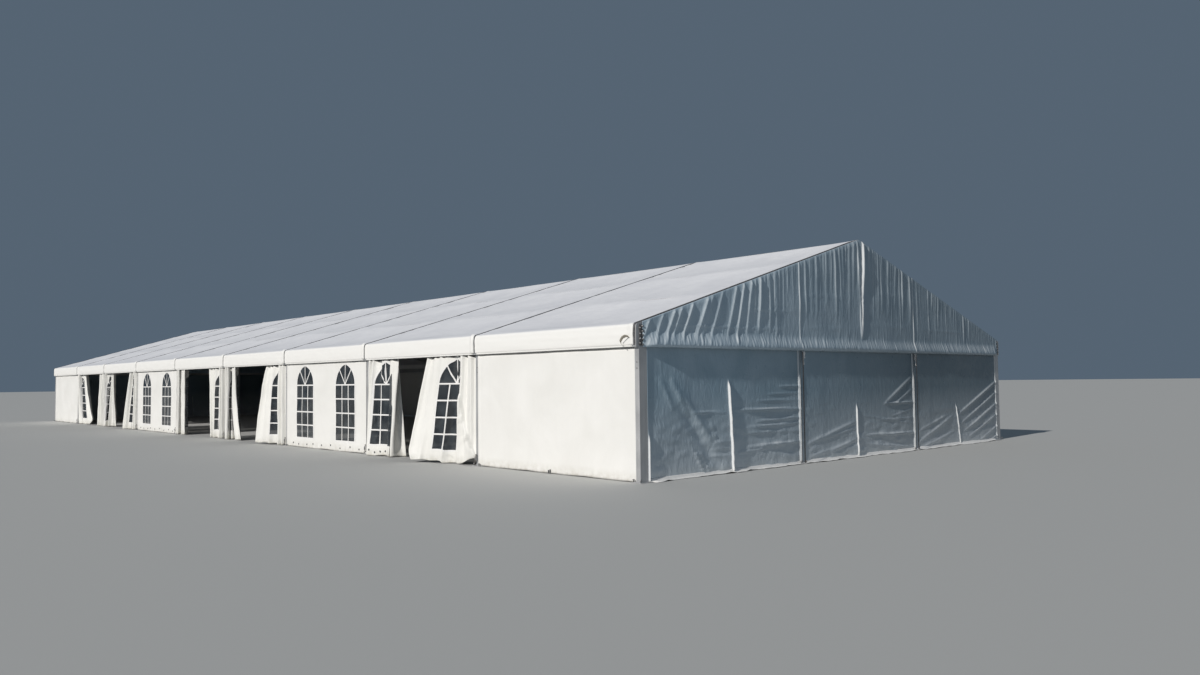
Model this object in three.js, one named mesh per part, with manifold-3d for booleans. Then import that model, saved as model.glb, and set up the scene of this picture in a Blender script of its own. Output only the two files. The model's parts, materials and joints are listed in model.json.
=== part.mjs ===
// A clear-span frame marquee: aluminium portal frames five metres apart, joined by beams at the
// eaves, the ridge and two heights of each slope, and closed by sheets of white PVC cloth.
// Nine bays long and three gable bays wide. Along the front, five bays are doorways with a
// curtain gathered to each side, two bays have arched windows and the end bays are plain.
//
// X runs along the ridge with the first bay at +X, -Y is the front with the doorways, Z is up
// and the origin is on the ground in the middle of the floor plan.
// Every dimension is that of the full-size marquee in millimetres. The model is half that size.

import * as THREE from 'three';
import { mergeVertices } from 'three/addons/utils/BufferGeometryUtils.js';
import Module from 'manifold-3d';

const wasm = await Module();
wasm.setup();

const MODEL_SCALE = 0.5;

// Driving dimensions of the whole marquee
const BAY = 5000;
const BAYS = 9;
const SPAN = 15000;
const GABLE_BAYS = 3;
const RIDGE_HEIGHT = 5150;
const EAVE_HEIGHT = 2870;
const BAND_BOTTOM = 2490;
const OVERHANG = 73;
const GAP = 0.6;

// Sections of the aluminium frame
const PORTAL = { deep: 203, wide: 112, below_sheet: 4 };
const BASE_PLATE = { along: 260, inside: 60, outside: 60, thick: 12 };
const EAVE_BEAM = { outer_face: 7490, wide: 90, bottom: 2455, tall: 200 };
const RIDGE_BEAM = { wide: 80, tall: 120, below_ridge: 30 };
const PURLIN = { wide: 60, tall: 100, below_sheet: 25 };
const PURLIN_SHARES = { lower: 0.32, upper: 0.68 };
const GABLE_BEAM = { wide: 80, bottom: 2490, tall: 120 };
const GABLE_UPRIGHT = { along_span: 90, along_ridge: 112 };

// Cloth
const CLOTH = 8;
const ROOF_CLOTH = 10;
const EAVE_RADIUS = 70;
const ARC_STEPS = 4;
const HEM_HEIGHT = BASE_PLATE.thick + GAP;
const WALL_FACE = 7488;
const GABLE_WALL_SET_BACK = 20;
const GABLE_SHEET = { hem: 2450, below_roof: 30, half_width: 7490 };

// Arched windows, one in the middle of each half of a bay
const WINDOW = { wide: 1120, sill: 280, spring: 1820, rise: 580 };
const CLEAR_SHEET = { thick: 4, lap: 35 };

const halfSpan = SPAN / 2;
const halfLength = (BAY * BAYS) / 2;
const eaveFace = halfSpan + OVERHANG;
const pitch = (RIDGE_HEIGHT - EAVE_HEIGHT) / eaveFace;
const pitchAngle = Math.atan(pitch);
const frameX = (i) => halfLength - i * BAY;
const roofHeight = (y) => RIDGE_HEIGHT - Math.abs(y) * pitch;

const aluminium = new THREE.MeshStandardMaterial({ color: 0xa9adb0, roughness: 0.45, metalness: 0.9 });
const roofCloth = new THREE.MeshStandardMaterial({ color: 0xe9e9ec, roughness: 0.55 });
const wallCloth = new THREE.MeshStandardMaterial({ color: 0xf2f0ea, roughness: 0.55 });
const clearCloth = new THREE.MeshStandardMaterial({
  color: 0x4a5056, roughness: 0.1, transparent: true, opacity: 0.35,
});

const marquee = new THREE.Group();
marquee.scale.setScalar(MODEL_SCALE);

function place(name, geometry, material) {
  const mesh = new THREE.Mesh(geometry, material);
  mesh.name = name;
  marquee.add(mesh);
  return mesh;
}

// Shapes

function shapeOf(points) {
  return new THREE.Shape(points.map(([a, b]) => new THREE.Vector2(a, b)));
}

// An outline in Y and Z, carried along X from one place to another
function alongRidge(shape, from, to) {
  const geometry = new THREE.ExtrudeGeometry(shape, { depth: to - from, bevelEnabled: false });
  const turn = new THREE.Matrix4().makeBasis(
    new THREE.Vector3(0, 1, 0), new THREE.Vector3(0, 0, 1), new THREE.Vector3(1, 0, 0));
  return geometry.applyMatrix4(turn).translate(from, 0, 0);
}

// An outline in X and Z, carried along Y from one place to a lower one
function acrossRidge(shape, from, to) {
  const geometry = new THREE.ExtrudeGeometry(shape, { depth: from - to, bevelEnabled: false });
  const turn = new THREE.Matrix4().makeBasis(
    new THREE.Vector3(1, 0, 0), new THREE.Vector3(0, 0, 1), new THREE.Vector3(0, -1, 0));
  return geometry.applyMatrix4(turn).translate(0, from, 0);
}

function box(low, high) {
  const size = high.map((value, k) => value - low[k]);
  const middle = high.map((value, k) => (value + low[k]) / 2);
  return new THREE.BoxGeometry(...size).translate(...middle);
}

function toSolid(geometry) {
  const bare = geometry.clone();
  bare.deleteAttribute('normal');
  bare.deleteAttribute('uv');
  const merged = mergeVertices(bare, 1e-3);
  return new wasm.Manifold(new wasm.Mesh({
    numProp: 3,
    vertProperties: new Float32Array(merged.attributes.position.array),
    triVerts: new Uint32Array(merged.index.array),
  }));
}

function toGeometry(solid) {
  const { vertProperties, triVerts } = solid.getMesh();
  const geometry = new THREE.BufferGeometry();
  geometry.setAttribute('position', new THREE.BufferAttribute(vertProperties, 3));
  geometry.setIndex(new THREE.BufferAttribute(triVerts, 1));
  geometry.computeVertexNormals();
  return geometry;
}

// Joins the first list of shapes and cuts away the second
function joinAndCut(joined, cut = []) {
  const [first, ...others] = joined.map(toSolid);
  const whole = others.reduce((sum, solid) => sum.add(solid), first);
  return toGeometry(cut.map(toSolid).reduce((left, solid) => left.subtract(solid), whole));
}

// The line of the roof and its two eave bands, a set distance inside the cloth's outer face,
// from the foot of one band, round the eave and over the ridge, down to the other
function roofLine(inset, foot) {
  const radius = EAVE_RADIUS;
  const centreY = eaveFace - radius;
  const centreZ = roofHeight(centreY) - radius / Math.cos(pitchAngle);
  const half = [[eaveFace - inset, foot]];
  for (let k = 0; k <= ARC_STEPS; k += 1) {
    const angle = (k / ARC_STEPS) * (Math.PI / 2 - pitchAngle);
    const reach = radius - inset;
    half.push([centreY + reach * Math.cos(angle), centreZ + reach * Math.sin(angle)]);
  }
  const front = half.map(([y, z]) => [-y, z]);
  const ridge = [0, RIDGE_HEIGHT - inset / Math.cos(pitchAngle)];
  return [...front, ridge, ...half.reverse()];
}

// The long beams that tie the frames together

const frameEnds = halfLength + PORTAL.wide / 2 - GAP;

function longBeam(y, wide, bottom, tall, clearance = 0) {
  const end = frameEnds + clearance * 2;
  return box(
    [-end, y - wide / 2 - clearance, bottom - clearance],
    [end, y + wide / 2 + clearance, bottom + tall + clearance]);
}

const beams = [];
for (const [side, sign] of [['front', -1], ['back', 1]]) {
  beams.push({
    name: `${side}_eave_beam`,
    y: sign * (EAVE_BEAM.outer_face - EAVE_BEAM.wide / 2),
    ...EAVE_BEAM,
  });
  for (const [placeOnSlope, share] of Object.entries(PURLIN_SHARES)) {
    const y = eaveFace * (1 - share);
    beams.push({
      name: `${side}_${placeOnSlope}_purlin`,
      y: sign * y,
      wide: PURLIN.wide,
      tall: PURLIN.tall,
      bottom: roofHeight(y) - PURLIN.below_sheet - PURLIN.tall,
    });
  }
}
beams.push({
  name: 'ridge_beam',
  y: 0,
  wide: RIDGE_BEAM.wide,
  tall: RIDGE_BEAM.tall,
  bottom: RIDGE_HEIGHT - RIDGE_BEAM.below_ridge - RIDGE_BEAM.tall,
});
for (const { name, y, wide, bottom, tall } of beams) {
  place(name, longBeam(y, wide, bottom, tall), aluminium);
}

// Portal frames: two legs with base plates, two knees and two rafters

function portalFrame(x) {
  const outer = roofLine(PORTAL.below_sheet, EAVE_BEAM.bottom);
  const legFace = halfSpan;
  const legInside = halfSpan - PORTAL.deep;
  const rafterDrop = (PORTAL.deep + PORTAL.below_sheet) / Math.cos(pitchAngle);
  const corner = roofHeight(legInside) - rafterDrop;
  const outline = shapeOf([
    [-legInside, 0], [-legFace, 0], [-legFace, EAVE_BEAM.bottom],
    ...outer,
    [legFace, EAVE_BEAM.bottom], [legFace, 0], [legInside, 0],
    [legInside, corner], [0, RIDGE_HEIGHT - rafterDrop], [-legInside, corner],
  ].reverse());
  const plates = [-1, 1].map((sign) => {
    const inner = sign * (legInside - BASE_PLATE.inside);
    const outside = sign * (legFace + BASE_PLATE.outside);
    return box(
      [x - BASE_PLATE.along / 2, Math.min(inner, outside), 0],
      [x + BASE_PLATE.along / 2, Math.max(inner, outside), BASE_PLATE.thick]);
  });
  const body = alongRidge(outline, x - PORTAL.wide / 2, x + PORTAL.wide / 2);
  const slots = beams.map(({ y, wide, bottom, tall }) => longBeam(y, wide, bottom, tall, GAP));
  return joinAndCut([body, ...plates], slots);
}

for (let i = 0; i <= BAYS; i += 1) {
  place(`portal_frame_${i + 1}`, portalFrame(frameX(i)), aluminium);
}

// Gable ends: a beam from leg to leg at eave height and two uprights from the ground to the rafters

const uprightY = [-1, 1].map((sign) => sign * (SPAN / GABLE_BAYS) / 2);

function gableBeam(x, clearance = 0) {
  const reach = halfSpan - PORTAL.deep - GAP;
  return box(
    [x - GABLE_BEAM.wide / 2 - clearance, -reach, GABLE_BEAM.bottom - clearance],
    [x + GABLE_BEAM.wide / 2 + clearance, reach, GABLE_BEAM.bottom + GABLE_BEAM.tall + clearance]);
}

function gableUpright(x, y) {
  const rafterDrop = (PORTAL.deep + PORTAL.below_sheet + GAP) / Math.cos(pitchAngle);
  const [near, far] = [y - GABLE_UPRIGHT.along_span / 2, y + GABLE_UPRIGHT.along_span / 2];
  const post = alongRidge(
    shapeOf([[near, 0], [far, 0], [far, roofHeight(far) - rafterDrop],
      [near, roofHeight(near) - rafterDrop]]),
    x - GABLE_UPRIGHT.along_ridge / 2, x + GABLE_UPRIGHT.along_ridge / 2);
  const plate = box(
    [x - BASE_PLATE.along / 2, y - BASE_PLATE.along / 2, 0],
    [x + BASE_PLATE.along / 2, y + BASE_PLATE.along / 2, BASE_PLATE.thick]);
  return joinAndCut([post, plate], [gableBeam(x, GAP)]);
}

for (const [end, sign] of [['near', 1], ['far', -1]]) {
  const x = sign * halfLength;
  place(`${end}_gable_beam`, gableBeam(x), aluminium);
  uprightY.forEach((y, k) => {
    place(`${end}_gable_upright_${k + 1}`, gableUpright(x, y), aluminium);
  });
}

// Roof: one sheet a bay, from eave band to eave band between two frames

function roofSheet(from, to) {
  const outer = roofLine(0, BAND_BOTTOM);
  const inner = roofLine(ROOF_CLOTH, BAND_BOTTOM);
  return alongRidge(shapeOf([...outer, ...inner.reverse()].reverse()), from, to);
}

for (let i = 0; i < BAYS; i += 1) {
  const margin = PORTAL.wide / 2 + GAP;
  place(`roof_sheet_${i + 1}`, roofSheet(frameX(i + 1) + margin, frameX(i) - margin), roofCloth);
}

// Gable ends: a sheet under the roof, outside the end frame, and walls between leg and uprights

function gableSheet(sign) {
  const { hem, below_roof: drop, half_width: half } = GABLE_SHEET;
  const outline = shapeOf([
    [-half, hem], [half, hem], [half, roofHeight(half) - drop],
    [0, RIDGE_HEIGHT - drop], [-half, roofHeight(half) - drop],
  ]);
  const inside = halfLength + PORTAL.wide / 2 + GAP;
  const faces = [sign * inside, sign * (inside + CLOTH)].sort((a, b) => a - b);
  return alongRidge(outline, ...faces);
}

function gableWall(sign, fromY, toY) {
  const outside = halfLength + PORTAL.wide / 2 - GABLE_WALL_SET_BACK;
  const faces = [sign * outside, sign * (outside - CLOTH)].sort((a, b) => a - b);
  return box([faces[0], fromY, HEM_HEIGHT], [faces[1], toY, GABLE_BEAM.bottom - GAP]);
}

for (const [end, sign] of [['near', 1], ['far', -1]]) {
  place(`${end}_gable_sheet`, gableSheet(sign), wallCloth);
  const legSide = halfSpan - PORTAL.deep - GAP;
  const postSide = GABLE_UPRIGHT.along_span / 2 + GAP;
  const edges = [[-legSide, uprightY[0] - postSide], [uprightY[0] + postSide, uprightY[1] - postSide],
    [uprightY[1] + postSide, legSide]];
  edges.forEach(([fromY, toY], k) => {
    place(`${end}_gable_wall_${k + 1}`, gableWall(sign, fromY, toY), wallCloth);
  });
}

// Side walls: plain sheets, and sheets with two arched windows closed by a clear sheet behind

const wallTop = EAVE_BEAM.bottom - GAP;
const bayEdges = (bay) => {
  const margin = PORTAL.wide / 2 + GAP;
  return [frameX(bay) + margin, frameX(bay - 1) - margin];
};

function frontWall(bay) {
  const [from, to] = bayEdges(bay);
  return box([from, -WALL_FACE, HEM_HEIGHT], [to, -WALL_FACE + CLOTH, wallTop]);
}

function archedOpening(centre) {
  const { wide, sill, spring, rise } = WINDOW;
  const points = [[centre - wide / 2, sill], [centre + wide / 2, sill]];
  for (let k = 0; k <= 2 * ARC_STEPS; k += 1) {
    const angle = (k / (2 * ARC_STEPS)) * Math.PI;
    points.push([centre + (wide / 2) * Math.cos(angle), spring + rise * Math.sin(angle)]);
  }
  return acrossRidge(shapeOf(points), -WALL_FACE + 2 * CLOTH, -WALL_FACE - CLOTH);
}

const windowCentres = (bay) => [0.25, 0.75].map((share) => frameX(bay) + share * BAY);

function windowWall(bay) {
  return joinAndCut([frontWall(bay)], windowCentres(bay).map(archedOpening));
}

function clearSheet(bay) {
  const [first, last] = windowCentres(bay);
  const reach = WINDOW.wide / 2 + CLEAR_SHEET.lap;
  const back = -WALL_FACE + CLOTH + GAP;
  return box(
    [first - reach, back, WINDOW.sill - CLEAR_SHEET.lap],
    [last + reach, back + CLEAR_SHEET.thick, WINDOW.spring + WINDOW.rise + CLEAR_SHEET.lap]);
}

const PLAIN_BAYS = [1, 9];
const WINDOW_BAYS = [3, 6];
for (const bay of PLAIN_BAYS) {
  place(`front_wall_${bay}`, frontWall(bay), wallCloth);
}
for (const bay of WINDOW_BAYS) {
  place(`window_wall_${bay}`, windowWall(bay), wallCloth);
  place(`window_sheet_${bay}`, clearSheet(bay), clearCloth);
}

const backWallEnd = halfLength + PORTAL.wide / 2;
place('back_wall', box(
  [-backWallEnd, halfSpan + GAP, HEM_HEIGHT],
  [backWallEnd, halfSpan + GAP + CLOTH, wallTop]), wallCloth);

// Door curtains: half a bay of cloth each, hung from the rail and gathered towards a post.
// Stations are places on the flat cloth, from its edge at the post: the window's first side, its
// two upright bars, its other side, a fold line and the free edge. For each station a curtain
// has its distance from the post's middle along the wall and how far it stands out from the
// wall, at the rail and at the hem. Between two stations the spare cloth lies in waves.

const CURTAIN = { thick: 12, pane_thick: 5, hem_curve: 1.5, rows: [1, 3, 2] };
const SOFTEN = { taps: 5, step: 17, reach: 46 };
const STATIONS = [0, 690, 1063, 1437, 1810, 2150, 2500];
const WINDOW_STATIONS = { first: 1, last: 4 };
const OPEN = { waves: [2, 0.5, 0.5, 0.5, 0.5, 0.5], columns: [8, 4, 4, 4, 4, 4] };
const GATHERED = { waves: [2, 1, 1, 1, 1, 1], columns: [8, 5, 5, 5, 4, 4] };
const AT_POST = [PORTAL.wide / 2 + CURTAIN.thick + GAP, 0];

// Each row is a station's place along the wall and out from it, at the rail and then at the hem
const CURTAINS = [
  {
    bay: 2,
    post: 'near',
    ...OPEN,
    rail: [AT_POST, [700, 40], [745, 0], [1140, 0], [1540, 0], [1840, 0], [2140, 0]],
    hem: [AT_POST, [690, 190], [760, 140], [1150, 210], [1550, 310], [1900, 380], [2300, 400]],
  },
  {
    bay: 2,
    post: 'far',
    ...OPEN,
    rail: [AT_POST, [340, 0], [680, 0], [1040, 0], [1010, 50], [1390, 10], [1560, 0]],
    hem: [AT_POST, [420, 230], [780, 150], [1130, 60], [1100, 120], [1370, 60], [1600, -170]],
  },
  {
    bay: 4,
    post: 'near',
    ...OPEN,
    rail: [AT_POST, [640, 0], [1000, 0], [1090, 0], [1150, 0], [1450, 0], [1740, 0]],
    hem: [AT_POST, [560, 60], [900, 90], [1120, 120], [1190, 160], [1500, 220], [1860, 260]],
  },
  {
    bay: 4,
    post: 'far',
    ...GATHERED,
    rail: [AT_POST, [240, 0], [360, 0], [480, 0], [600, 0], [740, 0], [870, 0]],
    hem: [AT_POST, [300, 60], [450, 40], [620, 80], [800, 60], [1000, 60], [1250, 40]],
  },
  {
    bay: 5,
    post: 'near',
    ...OPEN,
    rail: [AT_POST, [590, 40], [630, 0], [940, 0], [1260, 0], [1500, 0], [1730, 0]],
    hem: [AT_POST, [560, 70], [610, 30], [920, 20], [1240, 0], [1310, -10], [1400, -20]],
  },
  {
    bay: 5,
    post: 'far',
    ...GATHERED,
    rail: [AT_POST, [180, 0], [280, 0], [380, 0], [480, 0], [590, 0], [690, 0]],
    hem: [AT_POST, [220, 40], [330, 20], [450, 50], [560, 20], [690, 40], [810, 0]],
  },
  {
    bay: 7,
    post: 'near',
    ...GATHERED,
    rail: [AT_POST, [420, 0], [540, 0], [660, 0], [780, 0], [1080, 0], [1400, 0]],
    hem: [AT_POST, [400, 30], [720, 60], [1000, 90], [1120, 110], [1400, 130], [1700, 150]],
  },
  {
    bay: 7,
    post: 'far',
    ...GATHERED,
    rail: [AT_POST, [260, 0], [420, 0], [600, 0], [780, 0], [980, 0], [1200, 0]],
    hem: [AT_POST, [150, 40], [230, 20], [310, 60], [390, 30], [470, 50], [550, 20]],
  },
  {
    bay: 8,
    post: 'near',
    ...GATHERED,
    rail: [AT_POST, [260, 0], [380, 0], [520, 0], [680, 0], [860, 0], [1020, 0]],
    hem: [AT_POST, [280, 20], [420, 40], [580, 50], [760, 60], [960, 70], [1140, 80]],
  },
  {
    bay: 8,
    post: 'far',
    ...OPEN,
    rail: [AT_POST, [330, 0], [430, 0], [560, 0], [860, 0], [1040, 0], [1230, 0]],
    hem: [AT_POST, [720, 0], [960, 0], [1220, -10], [1590, -30], [1940, -80], [2280, -140]],
  },
];

const mix = (a, b, t) => a + (b - a) * t;

// Where the cloth would be if its folds were sharp: its distances along the wall and out from it.
// Between two stations the waves are as deep as the spare cloth allows, because each leg of a
// wave is the long side of a right-angled triangle.
function foldLine(curtain, onCloth, drop) {
  const s = Math.min(Math.max(onCloth, 0), STATIONS.at(-1));
  const k = Math.max(STATIONS.findLastIndex((station) => station < s), 0);
  const [from, to] = [k, k + 1].map((i) => new THREE.Vector2(
    mix(curtain.rail[i][0], curtain.hem[i][0], drop),
    mix(curtain.rail[i][1], curtain.hem[i][1], drop ** CURTAIN.hem_curve)));
  const flat = STATIONS[k + 1] - STATIONS[k];
  const share = (s - STATIONS[k]) / flat;
  const run = to.clone().sub(from);
  const spare = Math.sqrt(Math.max(flat ** 2 - run.lengthSq(), 0));
  const fold = (spare / (4 * curtain.waves[k])) * Math.sin(2 * Math.PI * curtain.waves[k] * share);
  const inwards = new THREE.Vector2(run.y, -run.x).normalize();
  return from.lerp(to, share).addScaledVector(inwards, fold);
}

// The middle of the cloth at a place on it and a height: a weighted mean of the fold line on both
// sides of the place, which rounds the folds
function curtainPoint(curtain, onCloth, height) {
  const drop = 1 - height / wallTop;
  const mean = new THREE.Vector2();
  let weights = 0;
  for (let tap = -SOFTEN.taps; tap <= SOFTEN.taps; tap += 1) {
    const aside = tap * SOFTEN.step;
    const weight = Math.exp(-((aside / SOFTEN.reach) ** 2));
    mean.addScaledVector(foldLine(curtain, onCloth + aside, drop), weight);
    weights += weight;
  }
  mean.divideScalar(weights);
  const near = curtain.post === 'near';
  const x = near ? frameX(curtain.bay - 1) - mean.x : frameX(curtain.bay) + mean.x;
  return new THREE.Vector3(x, -WALL_FACE + CLOTH / 2 - mean.y, height);
}

function spread(from, to, steps) {
  return Array.from({ length: steps + 1 }, (_, k) => mix(from, to, k / steps));
}

// The grid's columns: the place on the cloth and whether the cells that start there are window
function curtainColumns(curtain) {
  const columns = curtain.columns.flatMap((steps, k) => {
    const pane = k >= WINDOW_STATIONS.first && k < WINDOW_STATIONS.last;
    return spread(STATIONS[k], STATIONS[k + 1], steps).slice(0, -1).map((s) => ({ s, pane }));
  });
  return [...columns, { s: STATIONS.at(-1), pane: false }];
}

// The heights of the grid's rows at a column: round the window they follow its arched head
function rowHeights(s) {
  const [below, beside, above] = CURTAIN.rows;
  const middle = (STATIONS[WINDOW_STATIONS.first] + STATIONS[WINDOW_STATIONS.last]) / 2;
  const across = (2 * (s - middle)) / WINDOW.wide;
  const head = WINDOW.spring + WINDOW.rise * Math.sqrt(Math.max(1 - across ** 2, 0));
  return [
    ...spread(HEM_HEIGHT, WINDOW.sill, below).slice(0, -1),
    ...spread(WINDOW.sill, head, beside).slice(0, -1),
    ...spread(head, wallTop, above),
  ];
}

// The direction out of the cloth's outer face
function outOfCloth(curtain, s, height) {
  const along = curtainPoint(curtain, s + SOFTEN.step, height)
    .sub(curtainPoint(curtain, s - SOFTEN.step, height)).normalize();
  const side = curtain.post === 'near' ? -1 : 1;
  return new THREE.Vector3(along.y, -along.x, 0).multiplyScalar(side);
}

// A closed solid round a grid of points on the cloth. Each grid point has a place on the front
// and the back of the cloth, and on the front and the back of the thinner window pane.
function curtainGeometry(curtain) {
  const columns = curtainColumns(curtain);
  const [below, beside] = CURTAIN.rows;
  const rows = CURTAIN.rows.reduce((a, b) => a + b);
  const turned = curtain.post === 'near';
  const { thick, pane_thick: thin } = CURTAIN;
  const layers = [thick / 2, -thick / 2, thin / 2, -thin / 2];
  const points = columns.flatMap(({ s }) => rowHeights(s).flatMap((height) => {
    const middle = curtainPoint(curtain, s, height);
    const out = outOfCloth(curtain, s, height);
    return layers.map((layer) => middle.clone().addScaledVector(out, layer));
  }));
  const isOutside = (i, j) => i < 0 || i >= columns.length - 1 || j < 0 || j >= rows;
  const isPane = (i, j) => columns[i].pane && j >= below && j < below + beside;
  const at = ([i, j], layer) => layers.length * (i * (rows + 1) + j) + layer;
  const [front, back, paneFront, paneBack] = [0, 1, 2, 3];
  const faces = [];
  const quad = (a, b, c, d) => {
    const corners = turned ? [d, c, b, a] : [a, b, c, d];
    faces.push(corners[0], corners[1], corners[2], corners[0], corners[2], corners[3]);
  };
  const strip = (a, b, outer, inner) => quad(at(a, outer), at(b, outer), at(b, inner), at(a, inner));
  for (let i = 0; i < columns.length - 1; i += 1) {
    for (let j = 0; j < rows; j += 1) {
      const corners = [[i, j], [i + 1, j], [i + 1, j + 1], [i, j + 1]];
      const pane = isPane(i, j);
      quad(...corners.map((corner) => at(corner, pane ? paneFront : front)));
      quad(...corners.map((corner) => at(corner, pane ? paneBack : back)).reverse());
      if (pane) continue;
      const neighbours = [[i, j - 1], [i + 1, j], [i, j + 1], [i - 1, j]];
      neighbours.forEach((neighbour, k) => {
        const [a, b] = [corners[(k + 1) % 4], corners[k]];
        if (isOutside(...neighbour)) {
          strip(a, b, front, back);
        } else if (isPane(...neighbour)) {
          strip(a, b, front, paneFront);
          strip(a, b, paneBack, back);
        }
      });
    }
  }
  const geometry = new THREE.BufferGeometry().setFromPoints(points);
  geometry.setIndex(faces);
  return joinAndCut([geometry]);
}

for (const curtain of CURTAINS) {
  place(`curtain_${curtain.bay}_${curtain.post}`, curtainGeometry(curtain), wallCloth);
}

export default marquee;
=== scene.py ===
# %% [markdown]
# A frame marquee is a row of aluminium portal frames with tight sheets of coated cloth between
# them. This file dresses the packed model of one, nine bays long, at half its real size. The
# aluminium keeps its own shape and gets a finish. Every plain slab of cloth is replaced by a
# sheet that sags, creases and folds as real cloth does.

# %% Load the packed model
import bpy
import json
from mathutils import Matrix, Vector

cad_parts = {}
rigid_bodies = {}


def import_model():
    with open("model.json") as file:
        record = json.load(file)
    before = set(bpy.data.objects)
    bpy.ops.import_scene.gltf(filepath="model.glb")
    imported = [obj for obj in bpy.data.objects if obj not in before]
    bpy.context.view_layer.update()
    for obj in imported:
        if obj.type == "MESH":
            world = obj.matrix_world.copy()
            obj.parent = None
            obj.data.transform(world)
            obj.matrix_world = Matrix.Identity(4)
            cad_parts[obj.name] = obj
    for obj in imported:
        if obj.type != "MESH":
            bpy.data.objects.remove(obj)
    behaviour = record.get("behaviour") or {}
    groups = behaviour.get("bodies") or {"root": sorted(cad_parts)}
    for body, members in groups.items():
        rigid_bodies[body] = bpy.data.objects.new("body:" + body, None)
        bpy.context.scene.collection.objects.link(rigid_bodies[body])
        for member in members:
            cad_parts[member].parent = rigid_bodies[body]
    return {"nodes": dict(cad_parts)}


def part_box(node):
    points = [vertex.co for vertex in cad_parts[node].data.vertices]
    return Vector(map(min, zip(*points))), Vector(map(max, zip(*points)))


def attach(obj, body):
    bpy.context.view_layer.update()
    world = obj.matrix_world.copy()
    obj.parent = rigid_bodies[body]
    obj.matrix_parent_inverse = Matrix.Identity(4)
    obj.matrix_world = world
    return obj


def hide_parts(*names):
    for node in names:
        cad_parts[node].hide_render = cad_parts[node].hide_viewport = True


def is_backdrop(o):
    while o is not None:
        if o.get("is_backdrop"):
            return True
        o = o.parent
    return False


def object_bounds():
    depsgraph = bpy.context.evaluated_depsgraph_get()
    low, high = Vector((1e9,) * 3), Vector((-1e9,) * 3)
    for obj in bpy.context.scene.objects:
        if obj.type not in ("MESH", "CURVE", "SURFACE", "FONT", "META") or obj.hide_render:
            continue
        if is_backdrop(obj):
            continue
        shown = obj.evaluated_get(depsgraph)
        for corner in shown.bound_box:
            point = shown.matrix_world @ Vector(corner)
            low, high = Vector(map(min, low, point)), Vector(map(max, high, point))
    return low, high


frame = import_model()
cad_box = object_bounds()
print("model box in metres:", [[round(v, 3) for v in corner] for corner in cad_box])

# %% [markdown]
# Full-size millimetres are the easiest unit to think in here, because the marquee was made in
# them. One constant turns them into the metres of the half-size model, and every measure that
# the packed model already holds is read from it.

# %% Units and the main measures
import json
import math

import bpy
import numpy as np
from mathutils import Matrix, Vector

MM = 0.0005
BAYS = 9
BAY = 5000.0


def box_mm(node):
    """The lowest and highest corner of a node of the model, in full-size millimetres."""
    low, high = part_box(node)
    return np.array(low) / MM, np.array(high) / MM


roof_high = box_mm("roof_sheet_1")[1]
wall_low, wall_high = box_mm("front_wall_1")
gable_low, gable_high = box_mm("near_gable_sheet")
HALF_LENGTH = BAY * BAYS / 2
EAVE_FACE = roof_high[1]
RIDGE = roof_high[2]
WALL_FACE = -wall_low[1]
WALL_TOP = wall_high[2]
HEM = wall_low[2]
EAVE = 2870.0
PITCH = (RIDGE - EAVE) / EAVE_FACE
SLOPE = math.atan(PITCH)


def frame_x(i):
    """Where portal frame i stands along the ridge, with 0 the near end and 9 the far end."""
    return HALF_LENGTH - i * BAY


print("in mm: eave face", round(EAVE_FACE), "ridge", round(RIDGE), "wall top", round(WALL_TOP))
print("frames stand from", frame_x(0), "to", frame_x(BAYS))


# %% [markdown]
# The camera stands where the photographer stood. Its place, lens and turn come from matching
# the corners of the bays to the picture, so the model's own corners fall on the same spots.

# %% Camera
PHOTO_WIDTH = 1200
SENSOR = 36.0
FOCAL = 896.6
EYE = (16.988, -9.517, 0.920)
YAW, LIFT, ROLL = 2.39447, 0.04864, -0.0117

forward = Vector((math.cos(YAW) * math.cos(LIFT), math.sin(YAW) * math.cos(LIFT), math.sin(LIFT)))
level_right = Vector((math.sin(YAW), -math.cos(YAW), 0))
level_up = level_right.cross(forward)
right = level_right * math.cos(ROLL) + level_up * math.sin(ROLL)
up = level_up * math.cos(ROLL) - level_right * math.sin(ROLL)
camera_data = bpy.data.cameras.new("camera")
camera_data.sensor_width = SENSOR
camera_data.lens = FOCAL / PHOTO_WIDTH * SENSOR
camera_data.clip_end = 600
camera = bpy.data.objects.new("camera", camera_data)
turn = Matrix((right, up, -forward)).transposed().to_4x4()
camera.matrix_world = Matrix.Translation(EYE) @ turn
bpy.context.scene.collection.objects.link(camera)
bpy.context.scene.camera = camera
print("lens", round(camera_data.lens, 2), "mm")

# %% [markdown]
# One warm sun stands low in front of the long side, so that the walls are bright and the roof is
# a little duller. Its rays run almost along the gable, so the gable is in shade and only the
# folds that stand out from it catch the light. A dim, slightly cool sky fills the shade.

# %% Sun and sky
SUN_HEIGHT = math.radians(29)
SUN_SIDE = math.radians(-5.5)
sun_data = bpy.data.lights.new("sun", "SUN")
sun_data.energy = 3.05
sun_data.angle = math.radians(1.2)
sun_data.color = (1.0, 0.965, 0.925)
sun = bpy.data.objects.new("sun", sun_data)
sun_from = Vector((-math.sin(SUN_SIDE) * math.cos(SUN_HEIGHT),
                   -math.cos(SUN_SIDE) * math.cos(SUN_HEIGHT), math.sin(SUN_HEIGHT)))
sun.rotation_euler = (-sun_from).to_track_quat("-Z", "Y").to_euler()
bpy.context.scene.collection.objects.link(sun)

sky = bpy.data.worlds.new("sky")
sky.use_nodes = True
sky.node_tree.nodes["Background"].inputs["Color"].default_value = (0.54, 0.75, 1.0, 1)
sky.node_tree.nodes["Background"].inputs["Strength"].default_value = 0.17
bpy.context.scene.world = sky
bpy.context.scene.view_settings.view_transform = "Standard"
print("the sun stands", round(math.degrees(SUN_HEIGHT)), "degrees high")

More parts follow.
